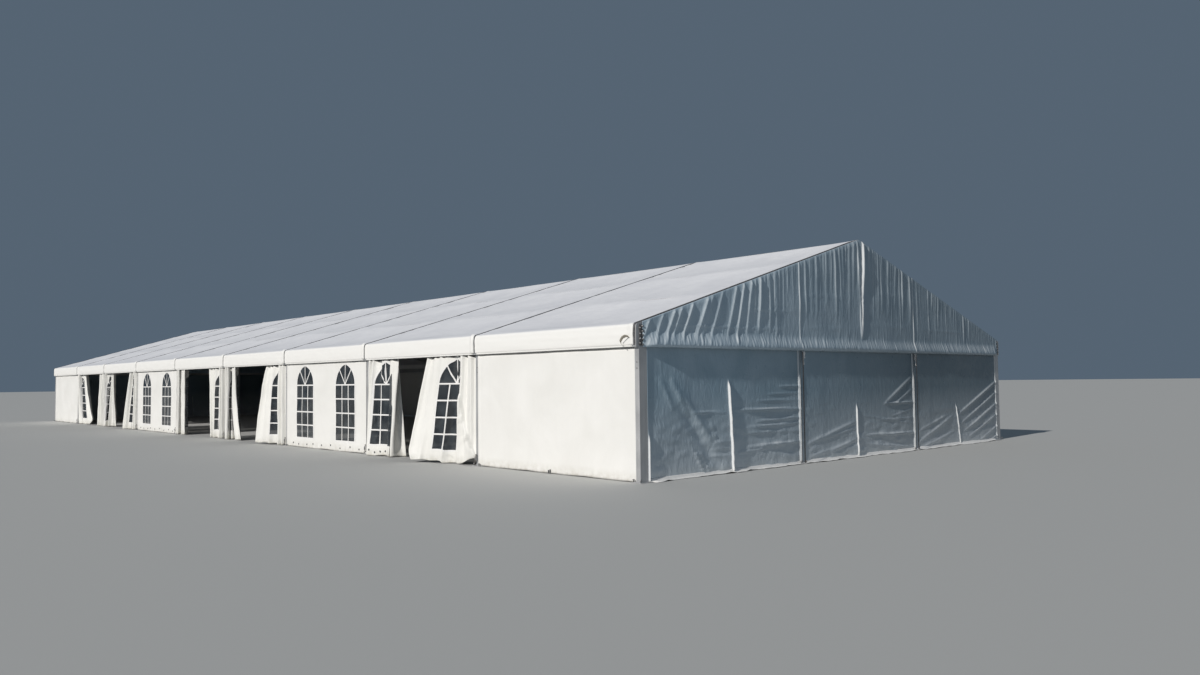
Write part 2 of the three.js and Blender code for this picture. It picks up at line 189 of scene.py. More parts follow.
# %% [markdown]
# The floor only catches the shadows. It is one plain pale square a hair under the feet, and it is
# declared as part of the stage, which keeps it out of the finished object.

# %% Floor
FLOOR_REACH = 220.0
FLOOR_DROP = 0.0004
floor_mesh = bpy.data.meshes.new("floor")
floor_mesh.from_pydata([(x * FLOOR_REACH, y * FLOOR_REACH, -FLOOR_DROP)
                        for x, y in ((-1, -1), (1, -1), (1, 1), (-1, 1))], [], [(0, 1, 2, 3)])
floor = bpy.data.objects.new("floor", floor_mesh)
bpy.context.scene.collection.objects.link(floor)
floor_finish = bpy.data.materials.new("floor")
floor_finish.use_nodes = True
floor_shader = floor_finish.node_tree.nodes["Principled BSDF"]
floor_shader.inputs["Base Color"].default_value = (0.50, 0.50, 0.485, 1)
floor_shader.inputs["Roughness"].default_value = 0.9
floor_mesh.materials.append(floor_finish)
floor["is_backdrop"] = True
print("the floor is", 2 * FLOOR_REACH, "m wide")

# %% [markdown]
# Every finish below is a few noise patterns that change the colour and lift the surface. Small
# helpers add one node each, so that a finish reads as a short list of what it is made of. The
# first ones start the material and say where a pattern is measured: on the cloth, which carries
# the pattern along through its folds, or on the object.

# %% Nodes and coordinates


class Nodes:
    """A material under construction: its nodes, its links and the coordinates it reads."""

    def __init__(self, name, roughness, metallic=0.0, specular=0.5):
        self.material = bpy.data.materials.new(name)
        self.material.use_nodes = True
        self.tree = self.material.node_tree
        self.shader = self.tree.nodes["Principled BSDF"]
        self.shader.inputs["Roughness"].default_value = roughness
        self.shader.inputs["Metallic"].default_value = metallic
        self.shader.inputs["Specular IOR Level"].default_value = specular

    def add(self, kind, **settings):
        """A new node of a kind, with its settings."""
        node = self.tree.nodes.new(kind)
        for name, value in settings.items():
            setattr(node, name, value)
        return node

    def link(self, source, target):
        self.tree.links.new(source, target)

    def place(self, scale=(1, 1, 1), cloth=True):
        """Coordinates of the cloth in full-size metres, or of the object, stretched by scale."""
        if cloth:
            start = self.add("ShaderNodeUVMap", uv_map="cloth").outputs["UV"]
        else:
            start = self.add("ShaderNodeTexCoord").outputs["Object"]
        mapping = self.add("ShaderNodeMapping")
        mapping.inputs["Scale"].default_value = scale
        self.link(start, mapping.inputs["Vector"])
        return mapping.outputs["Vector"]

    def along(self, axis):
        """The place along one axis of the object in the model's metres: Z is the height."""
        apart = self.add("ShaderNodeSeparateXYZ")
        self.link(self.add("ShaderNodeTexCoord").outputs["Object"], apart.inputs["Vector"])
        return apart.outputs[axis]


print("every material starts with", ", ".join(n for n in vars(Nodes) if not n.startswith("_")))

# %% [markdown]
# The other helpers are the patterns themselves: clouds of noise, a value spread to another range,
# two colours mixed and dents. Each gives back an output that the next one can take.

# %% Patterns of a finish


class Finish(Nodes):
    """A material with patterns for its colour, its gloss and its dents."""

    def noise(self, where, scale, detail=3.0, twist=0.0):
        """Cloudy noise from 0 to 1: scale is how many clouds there are in a metre."""
        node = self.add("ShaderNodeTexNoise")
        node.inputs["Scale"].default_value = scale
        node.inputs["Detail"].default_value = detail
        node.inputs["Distortion"].default_value = twist
        self.link(where, node.inputs["Vector"])
        return node.outputs["Fac"]

    def remap(self, value, low, high, to_low=0.0, to_high=1.0):
        """A value spread from one range to another and cut off at both ends."""
        node = self.add("ShaderNodeMapRange")
        for name, number in zip(("From Min", "From Max", "To Min", "To Max"),
                                (low, high, to_low, to_high)):
            node.inputs[name].default_value = number
        self.link(value, node.inputs["Value"])
        return node.outputs["Result"]

    def times(self, a, b):
        node = self.add("ShaderNodeMath", operation="MULTIPLY")
        self.link(a, node.inputs[0])
        self.link(b, node.inputs[1])
        return node.outputs["Value"]

    def mix(self, share, a, b):
        """A colour that goes from a to b. Each of the two is a colour or another node's output."""
        node = self.add("ShaderNodeMix", data_type="RGBA")
        self.link(share, node.inputs["Factor"])
        for socket, colour in ((node.inputs["A"], a), (node.inputs["B"], b)):
            if isinstance(colour, tuple):
                socket.default_value = (*colour, 1)
            else:
                self.link(colour, socket)
        return node.outputs["Result"]

    def bump(self, height, depth, strength=1.0, under=None):
        """Dents and bumps as deep as said, over those that are there already."""
        node = self.add("ShaderNodeBump")
        node.inputs["Distance"].default_value = depth
        node.inputs["Strength"].default_value = strength
        self.link(height, node.inputs["Height"])
        if under is not None:
            self.link(under, node.inputs["Normal"])
        return node.outputs["Normal"]


print("a finish adds", ", ".join(n for n in vars(Finish) if not n.startswith("_")))

# %% [markdown]
# The cloth is polyester woven in two directions and coated with soft white plastic. It has a
# low satin gloss, small crumples from being packed in bags, faint clouds of grime, and a darker
# foot where rain splashes soil on it. The same recipe serves roof, walls and gables with other
# numbers, because each of them shows the crumples at another strength.

# %% Recipe of a cloth finish
# The middle colour is the white of painted highlight. The second height is how far up the painted
# light from the floor reaches, and the pair after it is where the painted shade from front to back
# begins and ends.
BAND_WHITE, HIGHLIGHT_WHITE, SOIL = (0.87, 0.86, 0.83), (0.86, 0.87, 0.87), (0.36, 0.33, 0.24)
SOIL_TOP, FLOOR_LIGHT_TOP = 0.11, 0.8
BACK_SHADE_FROM, BACK_SHADE_TO = -2.6, 1.2
THREAD_DEPTH = 0.00012


def cloth_finish(name, clean, dull, roughness, crumple, foot=0.0, stretch=(1, 1, 1), band=None,
                 painted_floor_light=None, painted_back_shade=0.0):
    """Coated cloth: clean and dull are the two ends of its colour, crumple the depth in metres
    of its small dents, foot how much soil shows near the floor and stretch their direction.
    band is how far from the ridge, in metres of cloth, the roof's weathered grey ends.
    painted_floor_light is a paler colour painted into the lowest metre and a half, as the light
    that the floor throws up, and with it the piece's attribute named webbing says where painted
    highlight makes the cloth whitest: along seams and edges and on the sides of folds that face the
    front and the sky. painted_back_shade is how much painted shade darkens the cloth from front to
    back."""
    made = Finish(name, roughness, specular=0.4)
    cloth = made.place()
    clouds = made.remap(made.noise(cloth, 0.9, 4, 0.6), 0.35, 0.7)
    colour = made.mix(clouds, clean, dull)
    streaks = made.remap(made.noise(made.place((6, 0.35, 1)), 1.0, 3), 0.45, 0.85, 0, 0.35)
    colour = made.mix(streaks, colour, dull)
    if band:
        apart = made.add("ShaderNodeSeparateXYZ")
        made.link(cloth, apart.inputs["Vector"])
        from_ridge = made.add("ShaderNodeMath", operation="ABSOLUTE")
        made.link(apart.outputs["Y"], from_ridge.inputs[0])
        sheltered = made.remap(from_ridge.outputs["Value"], band - 0.03, band + 0.05)
        colour = made.mix(sheltered, colour, BAND_WHITE)
    # Painted shade: the cloth gets darker from front to back.
    if painted_back_shade:
        back_shade = made.remap(made.along("Y"), BACK_SHADE_FROM, BACK_SHADE_TO, 0.0, painted_back_shade)
        colour = made.mix(back_shade, colour, tuple(0.3 * part for part in dull))
    # Painted light: paler towards the floor, and whiter where the webbing attribute gives painted
    # highlight.
    if painted_floor_light:
        colour = made.mix(made.remap(made.along("Z"), 0.0, FLOOR_LIGHT_TOP, 0.75, 0.0), colour, painted_floor_light)
        whitest = made.add("ShaderNodeAttribute", attribute_name="webbing").outputs["Fac"]
        colour = made.mix(whitest, colour, HIGHLIGHT_WHITE)
    if foot:
        low = made.remap(made.along("Z"), 0.0, SOIL_TOP, foot, 0.0)
        patchy = made.remap(made.noise(cloth, 7, 4), 0.3, 0.75)
        colour = made.mix(made.times(low, patchy), colour, SOIL)
    made.link(colour, made.shader.inputs["Base Color"])
    gloss = made.remap(made.noise(cloth, 5, 3), 0.3, 0.7, roughness - 0.07, roughness + 0.09)
    made.link(gloss, made.shader.inputs["Roughness"])
    dents = made.noise(made.place(stretch), 5.5, 4, 0.9)
    lifted = made.bump(dents, crumple)
    for turned in ((900, 40, 1), (40, 900, 1)):
        lifted = made.bump(made.noise(made.place(turned), 1.0, 1), THREAD_DEPTH, 0.5, lifted)
    made.link(lifted, made.shader.inputs["Normal"])
    return made.material


# The second height printed is the top of the painted light from the floor.
print("soil splashes reach", SOIL_TOP, "m up and rain-washed dust", FLOOR_LIGHT_TOP, "m")

# %% [markdown]
# The roof is greyed by the sky, the side walls are the whitest, and the curtains are creased the
# most. The gable cloth is white, but here its colours are painted shade: they are the darkest and
# the bluest, as the cloth looks in the shade, and they are painted darker still towards the back
# corner.

# %% Cloth finishes
ALONG_FOLDS = (1.6, 0.6, 1)
roof_cloth = cloth_finish("roof_cloth", (0.87, 0.87, 0.89), (0.80, 0.80, 0.83), 0.5, 0.0035,
                          stretch=(0.5, 1.2, 1), band=7.86)
wall_cloth = cloth_finish("wall_cloth", (0.86, 0.85, 0.82), (0.80, 0.79, 0.755), 0.52, 0.0028,
                          foot=0.5, stretch=(1.4, 0.5, 1))
curtain_cloth = cloth_finish("curtain_cloth", (0.86, 0.85, 0.81), (0.78, 0.77, 0.73), 0.5,
                             0.0045, foot=0.7, stretch=(1.2, 0.7, 1))
# Both gable colours are painted shade, darker and bluer than the white cloth.
gable_cloth = cloth_finish("gable_cloth", (0.48, 0.595, 0.68), (0.37, 0.48, 0.565), 0.33, 0.006,
                           foot=0.3, stretch=ALONG_FOLDS, painted_floor_light=(0.60, 0.65, 0.69), painted_back_shade=0.55)
gable_wall_cloth_painted_shade = cloth_finish("gable_wall_cloth_painted_shade", (0.36, 0.475, 0.56), (0.27, 0.385, 0.465),
                                0.33, 0.006, foot=0.3, stretch=ALONG_FOLDS,
                                painted_floor_light=(0.64, 0.685, 0.72), painted_back_shade=0.8)
trim_cloth = cloth_finish("trim_cloth", (0.87, 0.86, 0.84), (0.80, 0.79, 0.77), 0.5, 0.001)
print("cloth finishes:", [cloth.name for cloth in (roof_cloth, wall_cloth, curtain_cloth,
                                                  gable_cloth, gable_wall_cloth_painted_shade, trim_cloth)])

# %% [markdown]
# The windows are clear plastic film. It is thin and clear, but it is drawn as a dark glossy sheet
# that lets part of the light through: its dark colour is painted shade, standing for the dim inside
# behind it. A wavy surface breaks up what it mirrors.

# %% Clear film
FILM_ALPHA = 0.72


def clear_film_painted_shade():
    """Clear film drawn with painted shade: dark, glossy, half see-through, with soft waves and a
    little haze.
    """
    made = Finish("clear_film_painted_shade", 0.08, specular=0.7)
    film = made.place()
    haze = made.remap(made.noise(film, 3, 4, 0.8), 0.4, 0.8)
    # Painted shade: the film is dark, as the dim inside seen through it.
    made.link(made.mix(haze, (0.035, 0.04, 0.045), (0.10, 0.115, 0.125)),
              made.shader.inputs["Base Color"])
    made.link(made.remap(haze, 0, 1, 0.05, 0.2), made.shader.inputs["Roughness"])
    made.link(made.bump(made.noise(made.place((1.0, 0.35, 1)), 3.2, 2), 0.006),
              made.shader.inputs["Normal"])
    made.shader.inputs["Alpha"].default_value = FILM_ALPHA
    return made.material


film = clear_film_painted_shade()
print(film.name, "lets", round(1 - FILM_ALPHA, 2), "of the light through")

# %% [markdown]
# The frame is extruded aluminium left bare outdoors. The die draws fine lines along each length,
# and the weather leaves pale oxide blotches. The lines run with the long side of each member,
# so the same recipe is used three times with another direction.

# %% Recipes for metal and small parts
LINES, RUN = 160, 1.2


def aluminium_finish(name, lines):
    """Bare aluminium: lines is how densely the die lines run along each axis of the object."""
    made = Finish(name, 0.45, metallic=0.4)
    blotches = made.remap(made.noise(made.place((1, 1, 1), cloth=False), 3.5, 5, 0.4), 0.35, 0.7)
    drawn = made.noise(made.place(lines, cloth=False), 1.0, 2)
    colour = made.mix(blotches, (0.47, 0.475, 0.48), (0.585, 0.59, 0.595))
    made.link(made.mix(made.remap(drawn, 0.3, 0.7, 0, 0.5), colour, (0.39, 0.395, 0.40)),
              made.shader.inputs["Base Color"])
    made.link(made.remap(blotches, 0, 1, 0.34, 0.6), made.shader.inputs["Roughness"])
    made.link(made.bump(drawn, 0.0004, 0.6), made.shader.inputs["Normal"])
    return made.material


def plain_finish(name, light, dark, roughness, metallic=0.0, scale=60):
    """A small part's finish: two colours clouded together with a fine uneven surface."""
    made = Finish(name, roughness, metallic=metallic)
    spots = made.noise(made.place((1, 1, 1), cloth=False), scale, 4)
    made.link(made.mix(made.remap(spots, 0.35, 0.65), light, dark),
              made.shader.inputs["Base Color"])
    made.link(made.bump(spots, 0.0004, 0.6), made.shader.inputs["Normal"])
    return made.material


print("die lines are about", round(1000 / LINES), "mm apart")

# %% [markdown]
# The frame keeps the shape that it was packed with, so only its finish is chosen here. Portal
# frames and posts get the upright lines, the two gable beams those that run across, and every
# member along the marquee the level ones. Steel, rubber and tape share one simple recipe.

# %% Metal, rubber and strap finishes
upright_metal = aluminium_finish("upright_aluminium", (LINES, LINES, RUN))
lying_metal = aluminium_finish("lying_aluminium", (RUN, LINES, LINES))
gable_metal = aluminium_finish("rafter_aluminium", (LINES, RUN, 0.75 * LINES))
# Near-black metal for grooves, gaps and gussets: partly dull, dirty metal and partly painted shade.
dirt_and_shade_metal = plain_finish("dirt_and_shade_metal", (0.15, 0.15, 0.16), (0.07, 0.07, 0.07), 0.6, 0.3)
bolt_steel = plain_finish("bolt_steel", (0.40, 0.40, 0.41), (0.22, 0.21, 0.20), 0.45, 0.85)
dark_tape = plain_finish("dark_tape", (0.17, 0.16, 0.14), (0.08, 0.075, 0.07), 0.85, scale=90)
dark_rubber = plain_finish("dark_rubber", (0.05, 0.05, 0.055), (0.09, 0.09, 0.09), 0.7)
strap_tape = plain_finish("webbing", (0.50, 0.46, 0.39), (0.33, 0.30, 0.25), 0.85, scale=90)

for name, node in frame["nodes"].items():
    upright = name.startswith("portal_frame") or "upright" in name
    crosswise = "gable_beam" in name
    for slot in node.material_slots:
        slot.material = upright_metal if upright else gable_metal if crosswise else lying_metal
print("aluminium set on", len(frame["nodes"]), "nodes")

# %% [markdown]
# Every piece is a surface on a grid. A grid of points becomes a mesh by joining each point with
# its neighbours. The cloth's own measure in metres goes along, so that weave and crumples can
# follow the cloth through every fold.

# %% Faces and measures of a grid


def cloth_uv(a, b):
    """The cloth's own measure in full-size metres, from two arrays in millimetres."""
    return np.stack(np.broadcast_arrays(a, b), axis=-1) / 1000


def grid_faces(rows, columns, kept=None):
    """Four-cornered faces between the points of a grid; kept says which cells stay."""
    index = np.arange(rows * columns).reshape(rows, columns)
    corners = np.stack([index[:-1, :-1], index[:-1, 1:], index[1:, 1:], index[1:, :-1]], axis=-1)
    return corners[kept] if kept is not None else corners.reshape(-1, 4)


def joined(parts):
    """Several (points, faces, uv) grids as one, with the face numbers moved along."""
    points, faces, uvs, start = [], [], [], 0
    for part_points, part_faces, part_uv in parts:
        points.append(part_points.reshape(-1, 3))
        faces.append(part_faces + start)
        uvs.append(part_uv.reshape(-1, 2))
        start += len(points[-1])
    return np.concatenate(points), np.concatenate(faces), np.concatenate(uvs)


print("a grid of 3 by 4 points has", len(grid_faces(3, 4)), "faces")

# %% [markdown]
# From its points, faces and measures every piece is made in the same way: a mesh in metres, its UV
# map, its material and, for a sheet, Solidify for the thickness. The last two calls say what the
# piece rides on and hide the parts of the packed model that it stands for.

# %% From a grid to a piece


def make_piece(name, part, material, thick=0.0, offset=-1.0, stands_for=(), webbing=None):
    """A mesh object from (points in full-size mm, faces, uv in metres), riding on the frame.
    webbing says for each point how much painted highlight whitens it."""
    points, faces, uv = part
    mesh = bpy.data.meshes.new(name)
    mesh.from_pydata((points.reshape(-1, 3) * MM).tolist(), [], faces.tolist())
    corners = np.empty(len(mesh.loops), dtype=np.int64)
    mesh.loops.foreach_get("vertex_index", corners)
    layer = mesh.uv_layers.new(name="cloth")
    layer.uv.foreach_set("vector", uv.reshape(-1, 2)[corners].astype(np.float32).ravel())
    if webbing is not None:
        # The webbing attribute carries the painted highlight of each point.
        painted_highlight = mesh.attributes.new("webbing", "FLOAT", "POINT")
        painted_highlight.data.foreach_set("value", webbing.astype(np.float32).ravel())
    mesh.shade_smooth()
    mesh.materials.append(material)
    piece = bpy.data.objects.new(name, mesh)
    bpy.context.scene.collection.objects.link(piece)
    if thick:
        solid = piece.modifiers.new("thickness", "SOLIDIFY")
        solid.thickness = thick * MM
        solid.offset = offset
        solid.use_even_offset = False
    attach(piece, "root")
    if stands_for:
        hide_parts(*stands_for)
    print(name, len(mesh.vertices), "points")
    return piece


print("a metre of the model is", round(1 / MM), "mm of the real marquee")

# %% [markdown]
# Creases are what make a flat sheet look like cloth. Each one is a line on the sheet with a
# width and a height. Its section is a bell and it fades out towards its two ends. Adding up a
# list of them gives a surface that is still worked out in one go for the whole grid. Sculpting
# by hand could do the same, but numbers can be read, compared with the picture and changed.

# %% Creases, waves and fins


def creases(a, b, lines, sharp=2.0, behind=1.0):
    """The height of the cloth at (a, b). Each line is a start, an end, a half width and a height.
    Across the line it is a bell, exp(-(distance / half width) ** sharp), and along the line it
    rises as the square root of a half sine, which is nought at both ends. On the right-hand side
    of a line, as one goes along it, the half width is behind times as large."""
    total = np.zeros(np.broadcast(a, b).shape)
    for a0, b0, a1, b1, width, height in lines:
        run = math.hypot(a1 - a0, b1 - b0)
        along = ((a - a0) * (a1 - a0) + (b - b0) * (b1 - b0)) / run ** 2
        across = ((a - a0) * (b1 - b0) - (b - b0) * (a1 - a0)) / run
        bell = np.exp(-np.abs(across / np.where(across < 0, behind * width, width)) ** sharp)
        total += height * bell * np.sqrt(np.sin(np.pi * np.clip(along, 0, 1)))
    return total


def swell(a, b, seed, size, height, count=7):
    """Gentle unevenness: a sum of sine waves, each with its own direction, phase and length near
    size, drawn from a seeded generator."""
    draw = np.random.default_rng(seed)
    turn, phase = draw.uniform(0, math.pi, count), draw.uniform(0, math.tau, count)
    length = size * draw.uniform(0.6, 1.8, count)
    total = np.zeros(np.broadcast(a, b).shape)
    for angle, shift, step in zip(turn, phase, length):
        total += np.sin(math.tau * (a * math.cos(angle) + b * math.sin(angle)) / step + shift)
    return total * height / math.sqrt(count)


def standing_fold(away, steep, gentle, height):
    """A fold that stands out like a fin: height times exp(-(distance / width) ** 1.6), with one
    width on the side that faces the front and another on the side behind it."""
    return height * np.exp(-np.abs(away / np.where(away < 0, steep, gentle)) ** 1.6)


print("a crease 20 mm high stands", creases(50.0, 0.0, [(0, 0, 100, 0, 10, 20)]), "mm out")

# %% [markdown]
# Two more helpers come back in every piece. A smooth step fades one shape out where another one
# begins, without a kink. A row of numbers with its own step between every two stops puts many
# points where the cloth bends sharply and few where it is flat.

# %% Smooth steps and rows of numbers


def ease(value, low, high):
    """A smooth step: 0 below low, 1 above high, and three squares less two cubes between."""
    share = np.clip((value - low) / (high - low), 0, 1)
    return share ** 2 * (3 - 2 * share)


def spaced(*stops):
    """Numbers in a row: each stop is a place and how many steps lead to it from the last one."""
    row = [np.array([stops[0]])]
    for place, steps in stops[1:]:
        row.append(np.linspace(row[-1][-1], place, steps + 1)[1:])
    return np.concatenate(row)


print("a row with close and wide steps:", spaced(0, (10, 2), (40, 1)))

# %% [markdown]
# The roof sheet of one bay is a single cloth that goes up from the foot of the front eave band,
# round the eave, over the ridge and down to the other band. Its section is a line, a small arc,
# a slope and the same again, so a point on it needs only two numbers: the place along the ridge
# and the distance from the ridge along the cloth.

# %% Roof section
EAVE_RADIUS = 70.0
RIDGE_ROUND = 60.0
POCKET_FOOT = 2458.0
arc_y = EAVE_FACE - EAVE_RADIUS
arc_z = RIDGE - arc_y * PITCH - EAVE_RADIUS / math.cos(SLOPE)
slope_length = (arc_y + EAVE_RADIUS * math.sin(SLOPE)) / math.cos(SLOPE)
arc_length = EAVE_RADIUS * (math.pi / 2 - SLOPE)
half_cloth = slope_length + arc_length + arc_z - POCKET_FOOT
print("roof cloth is", round(2 * half_cloth), "mm from foot to foot")


def roof_surface(x, q, rise):
    """A point of the roof cloth: x along the ridge, q the distance from the ridge (negative on
    the front side) and rise the distance over the drawn section, along its normal."""
    far = np.abs(q)
    on_slope, below_arc = far < slope_length, np.maximum(far - slope_length - arc_length, 0)
    angle = math.pi / 2 - SLOPE - np.clip(far - slope_length, 0, arc_length) / EAVE_RADIUS
    rounded = np.sqrt(far ** 2 + RIDGE_ROUND ** 2)
    y = np.where(on_slope, far * math.cos(SLOPE), arc_y + EAVE_RADIUS * np.cos(angle))
    z = np.where(on_slope, RIDGE - rounded * math.sin(SLOPE),
                 arc_z + EAVE_RADIUS * np.sin(angle) - below_arc)
    out = np.cos(angle) * ease(far, 0, 400)
    y, z = y + rise * out, z + rise * np.sin(angle)
    return np.stack(np.broadcast_arrays(x, np.sign(q) * y, z), axis=-1)


print("the cloth turns down at", roof_surface(0.0, slope_length, 0.0).round())

# %% [markdown]
# The cloth is held by the rafters at its sides and by the purlins below, so between them it hangs
# down a little, and each purlin shows as a soft line across the bay. Near the rafters the tension
# pulls small waves into it, and its edge is a round bead that sits in the rafter's groove.

# %% Sag of the roof
PURLINS = (0.32, 0.68)
LEAST_SAG, PANEL_SAG = 12, 58
BEAD_HEIGHT, BEAD_PLACE, BEAD_WIDTH = 5, 16, 12


def roof_rise(share, q, bay):
    """How far the cloth stands over the section. Between the rafters it sags as half a sine.
    Between two purlins it sags more, and close to the rafters it is pulled into small waves."""
    far = np.abs(q)
    stops = np.array([0, (1 - PURLINS[1]) * slope_length, (1 - PURLINS[0]) * slope_length,
                      slope_length + 40])
    panel = np.interp(far, stops, [0, 1, 2, 3])
    between = 4 * (panel % 1) * (1 - panel % 1)
    on_slope = 1 - ease(far, slope_length - 500, slope_length)
    middle = np.sin(np.pi * share) ** 0.75
    sag = -(LEAST_SAG + PANEL_SAG * between) * middle * on_slope
    edge = np.minimum(share, 1 - share) * BAY
    pulls = swell(share * BAY * 0.15, q, 30 + bay, 420, 5.0) * np.exp(-edge / 500) * on_slope
    bead = BEAD_HEIGHT * np.exp(-((edge - BEAD_PLACE) / BEAD_WIDTH) ** 2)
    uneven = swell(share * BAY, q, 50 + bay, 1900, 5.0) * middle * on_slope
    return sag + pulls + bead + uneven


print("between two purlins the cloth sags by", -round(float(roof_rise(0.5, 1200.0, 1))), "mm")

# %% [markdown]
# Below its turn the same cloth makes the white band along the eave. A tube in a pocket at its
# foot keeps it straight, so it only bulges a little and has long level wrinkles. At every frame
# its round end shows, and a shoulder stands up over the rafter's end.

# %% Eave band
FULLNESS, FULL_TALL = 9, 330
END_HEIGHT, END_PLACE, END_WIDTH = 13, 34, 26
SHOULDER_HEIGHT, END_SHOULDER, SHOULDER_PLACE, SHOULDER_WIDTH = 44, 14, 74, 56
POCKET_DEPTH, POCKET_TOP = 11, 322


def band_rise(share, q, bay):
    """The eave band is fuller: half a sine between its turn and its foot, level waves, a bell at
    each end and on the shoulder at its near end, and a step inwards at the thin pocket."""
    far = np.abs(q)
    down = np.clip(far - slope_length - arc_length, 0, None)
    on_band = ease(far, slope_length + 20, slope_length + arc_length + 60)
    edge = np.minimum(share, 1 - share) * BAY
    fullness = FULLNESS * np.sin(np.pi * np.clip(down / FULL_TALL, 0, 1)) * ease(edge, 0, 400)
    wrinkles = swell(share * BAY * 0.12, down, 70 + bay, 150, 2.2)
    round_end = END_HEIGHT * np.exp(-((edge - END_PLACE) / END_WIDTH) ** 2)
    on_shoulder = ease(far, slope_length - 190, slope_length - 50)
    beside = ((1 - share) * BAY - SHOULDER_PLACE) / SHOULDER_WIDTH
    tall = SHOULDER_HEIGHT if bay > 1 else END_SHOULDER
    shoulder = tall * np.exp(-beside ** 2) * on_shoulder
    pocket = -POCKET_DEPTH * ease(down, POCKET_TOP, POCKET_TOP + 12)
    on_foot = 1 - ease(down, POCKET_TOP - 2, POCKET_TOP + 12)
    return ((fullness + wrinkles + round_end) * on_band + shoulder) * on_foot + pocket


print("the band bulges", round(float(band_rise(0.5, slope_length + 250.0, 1)), 1), "mm")

# %% [markdown]
# Now each bay gets its sheet. The columns of the grid lie close together beside the rafters and
# the rows at the turn and the foot, where the cloth bends. Solidify then gives it a thickness.

# %% Roof sheets
RAFTER_LAP = 28.0
BAND_REACH = 19
half_rows = spaced(0, (200, 4), (slope_length - 300, 46), (slope_length, 8),
                   (slope_length + arc_length, 7), (half_cloth - 36, 12), (half_cloth - 24, 3),
                   (half_cloth, 2))
roof_rows = np.concatenate([-half_rows[:0:-1], half_rows])
edge_steps = spaced(0, (0.012, 4), (0.04, 5), (0.1, 3), (0.5, 9))
roof_shares = np.concatenate([edge_steps, 1 - edge_steps[-2::-1]])

for bay in range(1, BAYS + 1):
    share, q = np.meshgrid(roof_shares, roof_rows)
    lap = RAFTER_LAP - BAND_REACH * ease(np.abs(q), slope_length - 60, slope_length + arc_length)
    near_end, far_end = frame_x(bay - 1) - lap, frame_x(bay) + lap
    x = far_end + (near_end - far_end) * share
    rise = roof_rise(share, q, bay) + band_rise(share, q, bay)
    part = roof_surface(x, q, rise), grid_faces(*share.shape), cloth_uv(x, q)
    sheet = make_piece(f"roof_cloth_{bay}", part, roof_cloth,
                       thick=3.0, stands_for=[f"roof_sheet_{bay}"])

# %% [markdown]
# The two edges of neighbouring roof sheets slide into grooves in the rafter. Between them lies a
# channel of dull, dirty metal, and its near-black colour is also painted shade for the shadow in
# the channel, so it shows as a dark line from eave to ridge. Its section is drawn once across the
# rafter and carried along the roof's own section line.

# %% Channels on the rafters
GROOVE_SECTION = np.array([(-36, -14), (-33, 7), (-26, 11), (-22, 8), (-20, 1), (-6, 0), (-4, 4),
                           (4, 4), (6, 0), (20, 1), (22, 8), (26, 11), (33, 7), (36, -14)], float)
half_groove = spaced(0, (slope_length, 24), (half_cloth - 30, 10))
groove_rows = np.concatenate([-half_groove[:0:-1], half_groove])
channels = []
for i in range(BAYS + 1):
    across, q = np.meshgrid(GROOVE_SECTION[:, 0], groove_rows)
    points = roof_surface(frame_x(i) - across, q, GROOVE_SECTION[:, 1] + 1)
    channels.append((points, grid_faces(*q.shape)[:, ::-1], cloth_uv(across, q)))
make_piece("rafter_channels", joined(channels), dirt_and_shade_metal)

# %% [markdown]
# A gable sheet is held along the rake by a beaded edge, which gathers it into folds. Towards the
# front corner they are broad and lean that way, in the middle some are soft and low, and all of
# them fade on their way down. Each is one crease line. Its place is shaken a little by a seeded
# generator, because an even row would look like a machine's work.

# %% Broad and soft folds under the rake
GABLE_HEM = gable_low[2]
GABLE_HALF = gable_high[1]
GABLE_FACE = gable_high[0]
FOLD_START = 60


def rake_height(y):
    """The height of the roof's edge at a gable, as a straight slope on both sides."""
    return RIDGE - np.abs(y) * PITCH


def gable_surface(y, z, out, side):
    """A point of the cloth at a gable: side is +1 for the near end and -1 for the far end."""
    return np.stack(np.broadcast_arrays(side * (GABLE_FACE + out), y, z), axis=-1)


def soft_folds(draw, places):
    """Wide, low folds in the middle of the gable, which reach half way down or further."""
    for y in places:
        top = rake_height(y) + FOLD_START
        drop = (top - GABLE_HEM) * draw.uniform(0.5, 0.8)
        yield (y, top + 0.5 * drop, y - draw.uniform(-20, 110), top - drop,
               draw.uniform(40, 75), draw.uniform(8, 20))


def broad_folds(draw, places):
    """Deep folds that reach nearly to the foot. The nearer to the front corner, the further
    each one leans towards it."""
    for y in places:
        corner = float(ease(-y, 3300, 5600))
        top = rake_height(y) + FOLD_START
        drop = (top - GABLE_HEM) * draw.uniform(0.75, 0.98)
        yield (y + 0.2 * drop * corner, top + 0.3 * drop, y - 0.42 * corner * drop, top - drop,
               draw.uniform(30, 50), draw.uniform(18, 34))


print("the rake comes down to", round(float(rake_height(GABLE_HALF))), "mm at the eaves")

# %% [markdown]
# Most folds are narrow streaks that hang straight down. One in five runs further down than the
# others. At the foot the rolled hem is shorter than the cloth above it, which raises a row of
# small puckers.

# %% Narrow folds and puckers


def narrow_folds(draw, places):
    """Narrow streaks that hang straight down and lean a little in the front half."""
    for y in places:
        top = rake_height(y) + FOLD_START
        drop = (top - GABLE_HEM) * draw.uniform(0.25, 0.85) * (1 if draw.random() < 0.8 else 1.3)
        lean = draw.uniform(-0.06, 0.06) - 0.10 * float(ease(-y, 2300, 4300))
        yield (y, top + 0.7 * drop, y + lean * drop, top - drop,
               draw.uniform(15, 26), draw.uniform(4, 14))


